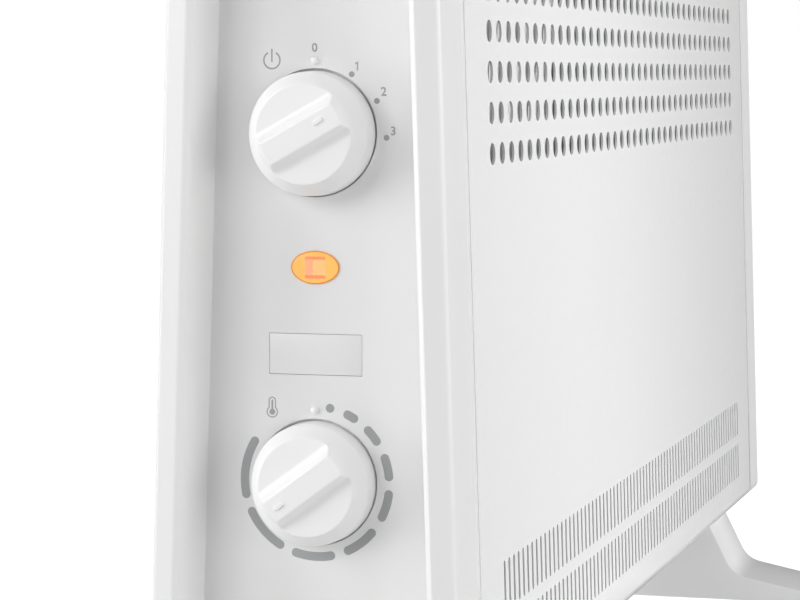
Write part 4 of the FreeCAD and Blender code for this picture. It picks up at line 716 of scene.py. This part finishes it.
def screwSet(name, node, shank, length, places):
    first = makeScrew(shank, length)
    copies = []
    for place in places:
        copy = first.copy()
        copy.data = first.data.copy()
        bpy.context.scene.collection.objects.link(copy)
        copies.append(setDown(copy, place))
    bpy.data.objects.remove(first)
    piece = joined(copies, name)
    smoothed(piece, panScrew["smooth"])
    dress(piece, "zincPlate")
    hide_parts(node)
    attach(piece, "casing")


rearScrew = {"x": 247.0, "heights": (78.0, 203.0, 328.0), "lean": 1.85, "baseHalf": 50.6, "bottom": 48.0,
             "shank": 1.3, "length": 6.0}
rearSpots = []
for x in (-rearScrew["x"], rearScrew["x"]):
    for z in rearScrew["heights"]:
        y = rearScrew["baseHalf"] - (z - rearScrew["bottom"]) * math.tan(math.radians(rearScrew["lean"]))
        turn = Matrix.Rotation(math.radians(90 + rearScrew["lean"]), 4, "X")
        rearSpots.append(Matrix.Translation(Vector((x, y, z)) * mm) @ turn)
screwSet("rearScrews", "rear_screws", rearScrew["shank"], rearScrew["length"], rearSpots)

footScrew = {"x": 205.0, "y": 22.0, "seat": 45.0, "shank": 1.95, "length": 7.6}
footSpots = [Matrix.Translation(Vector((x, y, footScrew["seat"])) * mm)
             for x in (-footScrew["x"], footScrew["x"]) for y in (-footScrew["y"], footScrew["y"])]
screwSet("footScrews", "foot_screws", footScrew["shank"], footScrew["length"], footSpots)
print("screws made")

# studio: a pale floor lit from below in white surroundings, soft boxes all round, and two narrow lights: a tall
# strip far off that the front panel mirrors as an upright sheen, and one low on the left that the lip of the
# control cap mirrors as a white line
studio = {
    "floorSize": 80.0,
    "surround": 0.2,
    "aim": (-0.25, 0.0, 0.2),
    "reach": 2.0,
    "boxSize": 1.0,
    # the way out from the aim, and the power
    "boxes": {
        "farLeft": ((-0.5, 0.8, 0.4), 10.0),
        "left": ((-0.75, 0.55, 0.4), 12.0),
        "rearLeft": ((0.5, 0.86, 0.0), 4.0),
        "under": ((-0.6, 0.3, -0.7), 5.7),
        "over": ((-0.2, 0.0, 1.0), 2.6),
        "nearRight": ((-0.8, -0.5, -0.05), 6.0),
        "right": ((-0.3, -0.9, 0.0), 9.9),
        "front": ((0.1, -0.95, 0.3), 18.4),
    },
    # place, aim, size and power
    "narrow": {
        "strip": ((1.825, -0.481, 0.1), (-0.12, -0.047, 0.1), (0.1, 1.8), 1.5),
        "lowLeft": ((-1.03, 1.838, 0.095), (-0.25, 0.0, 0.2), (0.3, 0.9), 9.0),
    },
}
bpy.ops.mesh.primitive_plane_add(size=studio["floorSize"])
floor = bpy.context.object
floor.name = "studioFloor"
floor.visible_diffuse = False
floor.visible_glossy = False
floor.visible_shadow = False
dress(floor, "litFloor")

world = bpy.data.worlds.new("studioWhite")
bpy.context.scene.world = world
world.use_nodes = True
tree = world.node_tree
tree.nodes.clear()
rays = addNode(tree, "ShaderNodeLightPath", {}, {})
level = addNode(tree, "ShaderNodeMapRange", {"To Min": studio["surround"], "To Max": 1.0},
                {"Value": rays.outputs["Is Camera Ray"]})
glow = addNode(tree, "ShaderNodeBackground", {"Color": (1, 1, 1, 1)}, {"Strength": level.outputs[0]})
addNode(tree, "ShaderNodeOutputWorld", {}, {"Surface": glow.outputs[0]})


def softLight(name, place, aim, size, power):
    bpy.ops.object.light_add(type="AREA", location=place)
    light = bpy.context.object
    light.name = name + "Light"
    light.data.shape = "RECTANGLE"
    light.data.size, light.data.size_y = size
    light.data.energy = power
    light.rotation_euler = (Vector(aim) - Vector(place)).to_track_quat("-Z", "Y").to_euler()


for name, (way, power) in studio["boxes"].items():
    place = Vector(studio["aim"]) + Vector(way).normalized() * studio["reach"]
    softLight(name, place, studio["aim"], (studio["boxSize"], studio["boxSize"]), power)
for name, settings in studio["narrow"].items():
    softLight(name, *settings)

# camera at the photograph's angle
view = {"at": (-1.1312, -0.2665, 0.2538), "towards": (0.95971, 0.26991, -0.07808), "lens": 130.65, "sensor": 36.0}
bpy.ops.object.camera_add(location=view["at"])
camera = bpy.context.object
camera.rotation_euler = Vector(view["towards"]).to_track_quat("-Z", "Y").to_euler()
camera.data.lens = view["lens"]
camera.data.sensor_width = view["sensor"]
bpy.context.scene.camera = camera
bpy.context.scene.view_settings.view_transform = "Standard"
print("studio set")
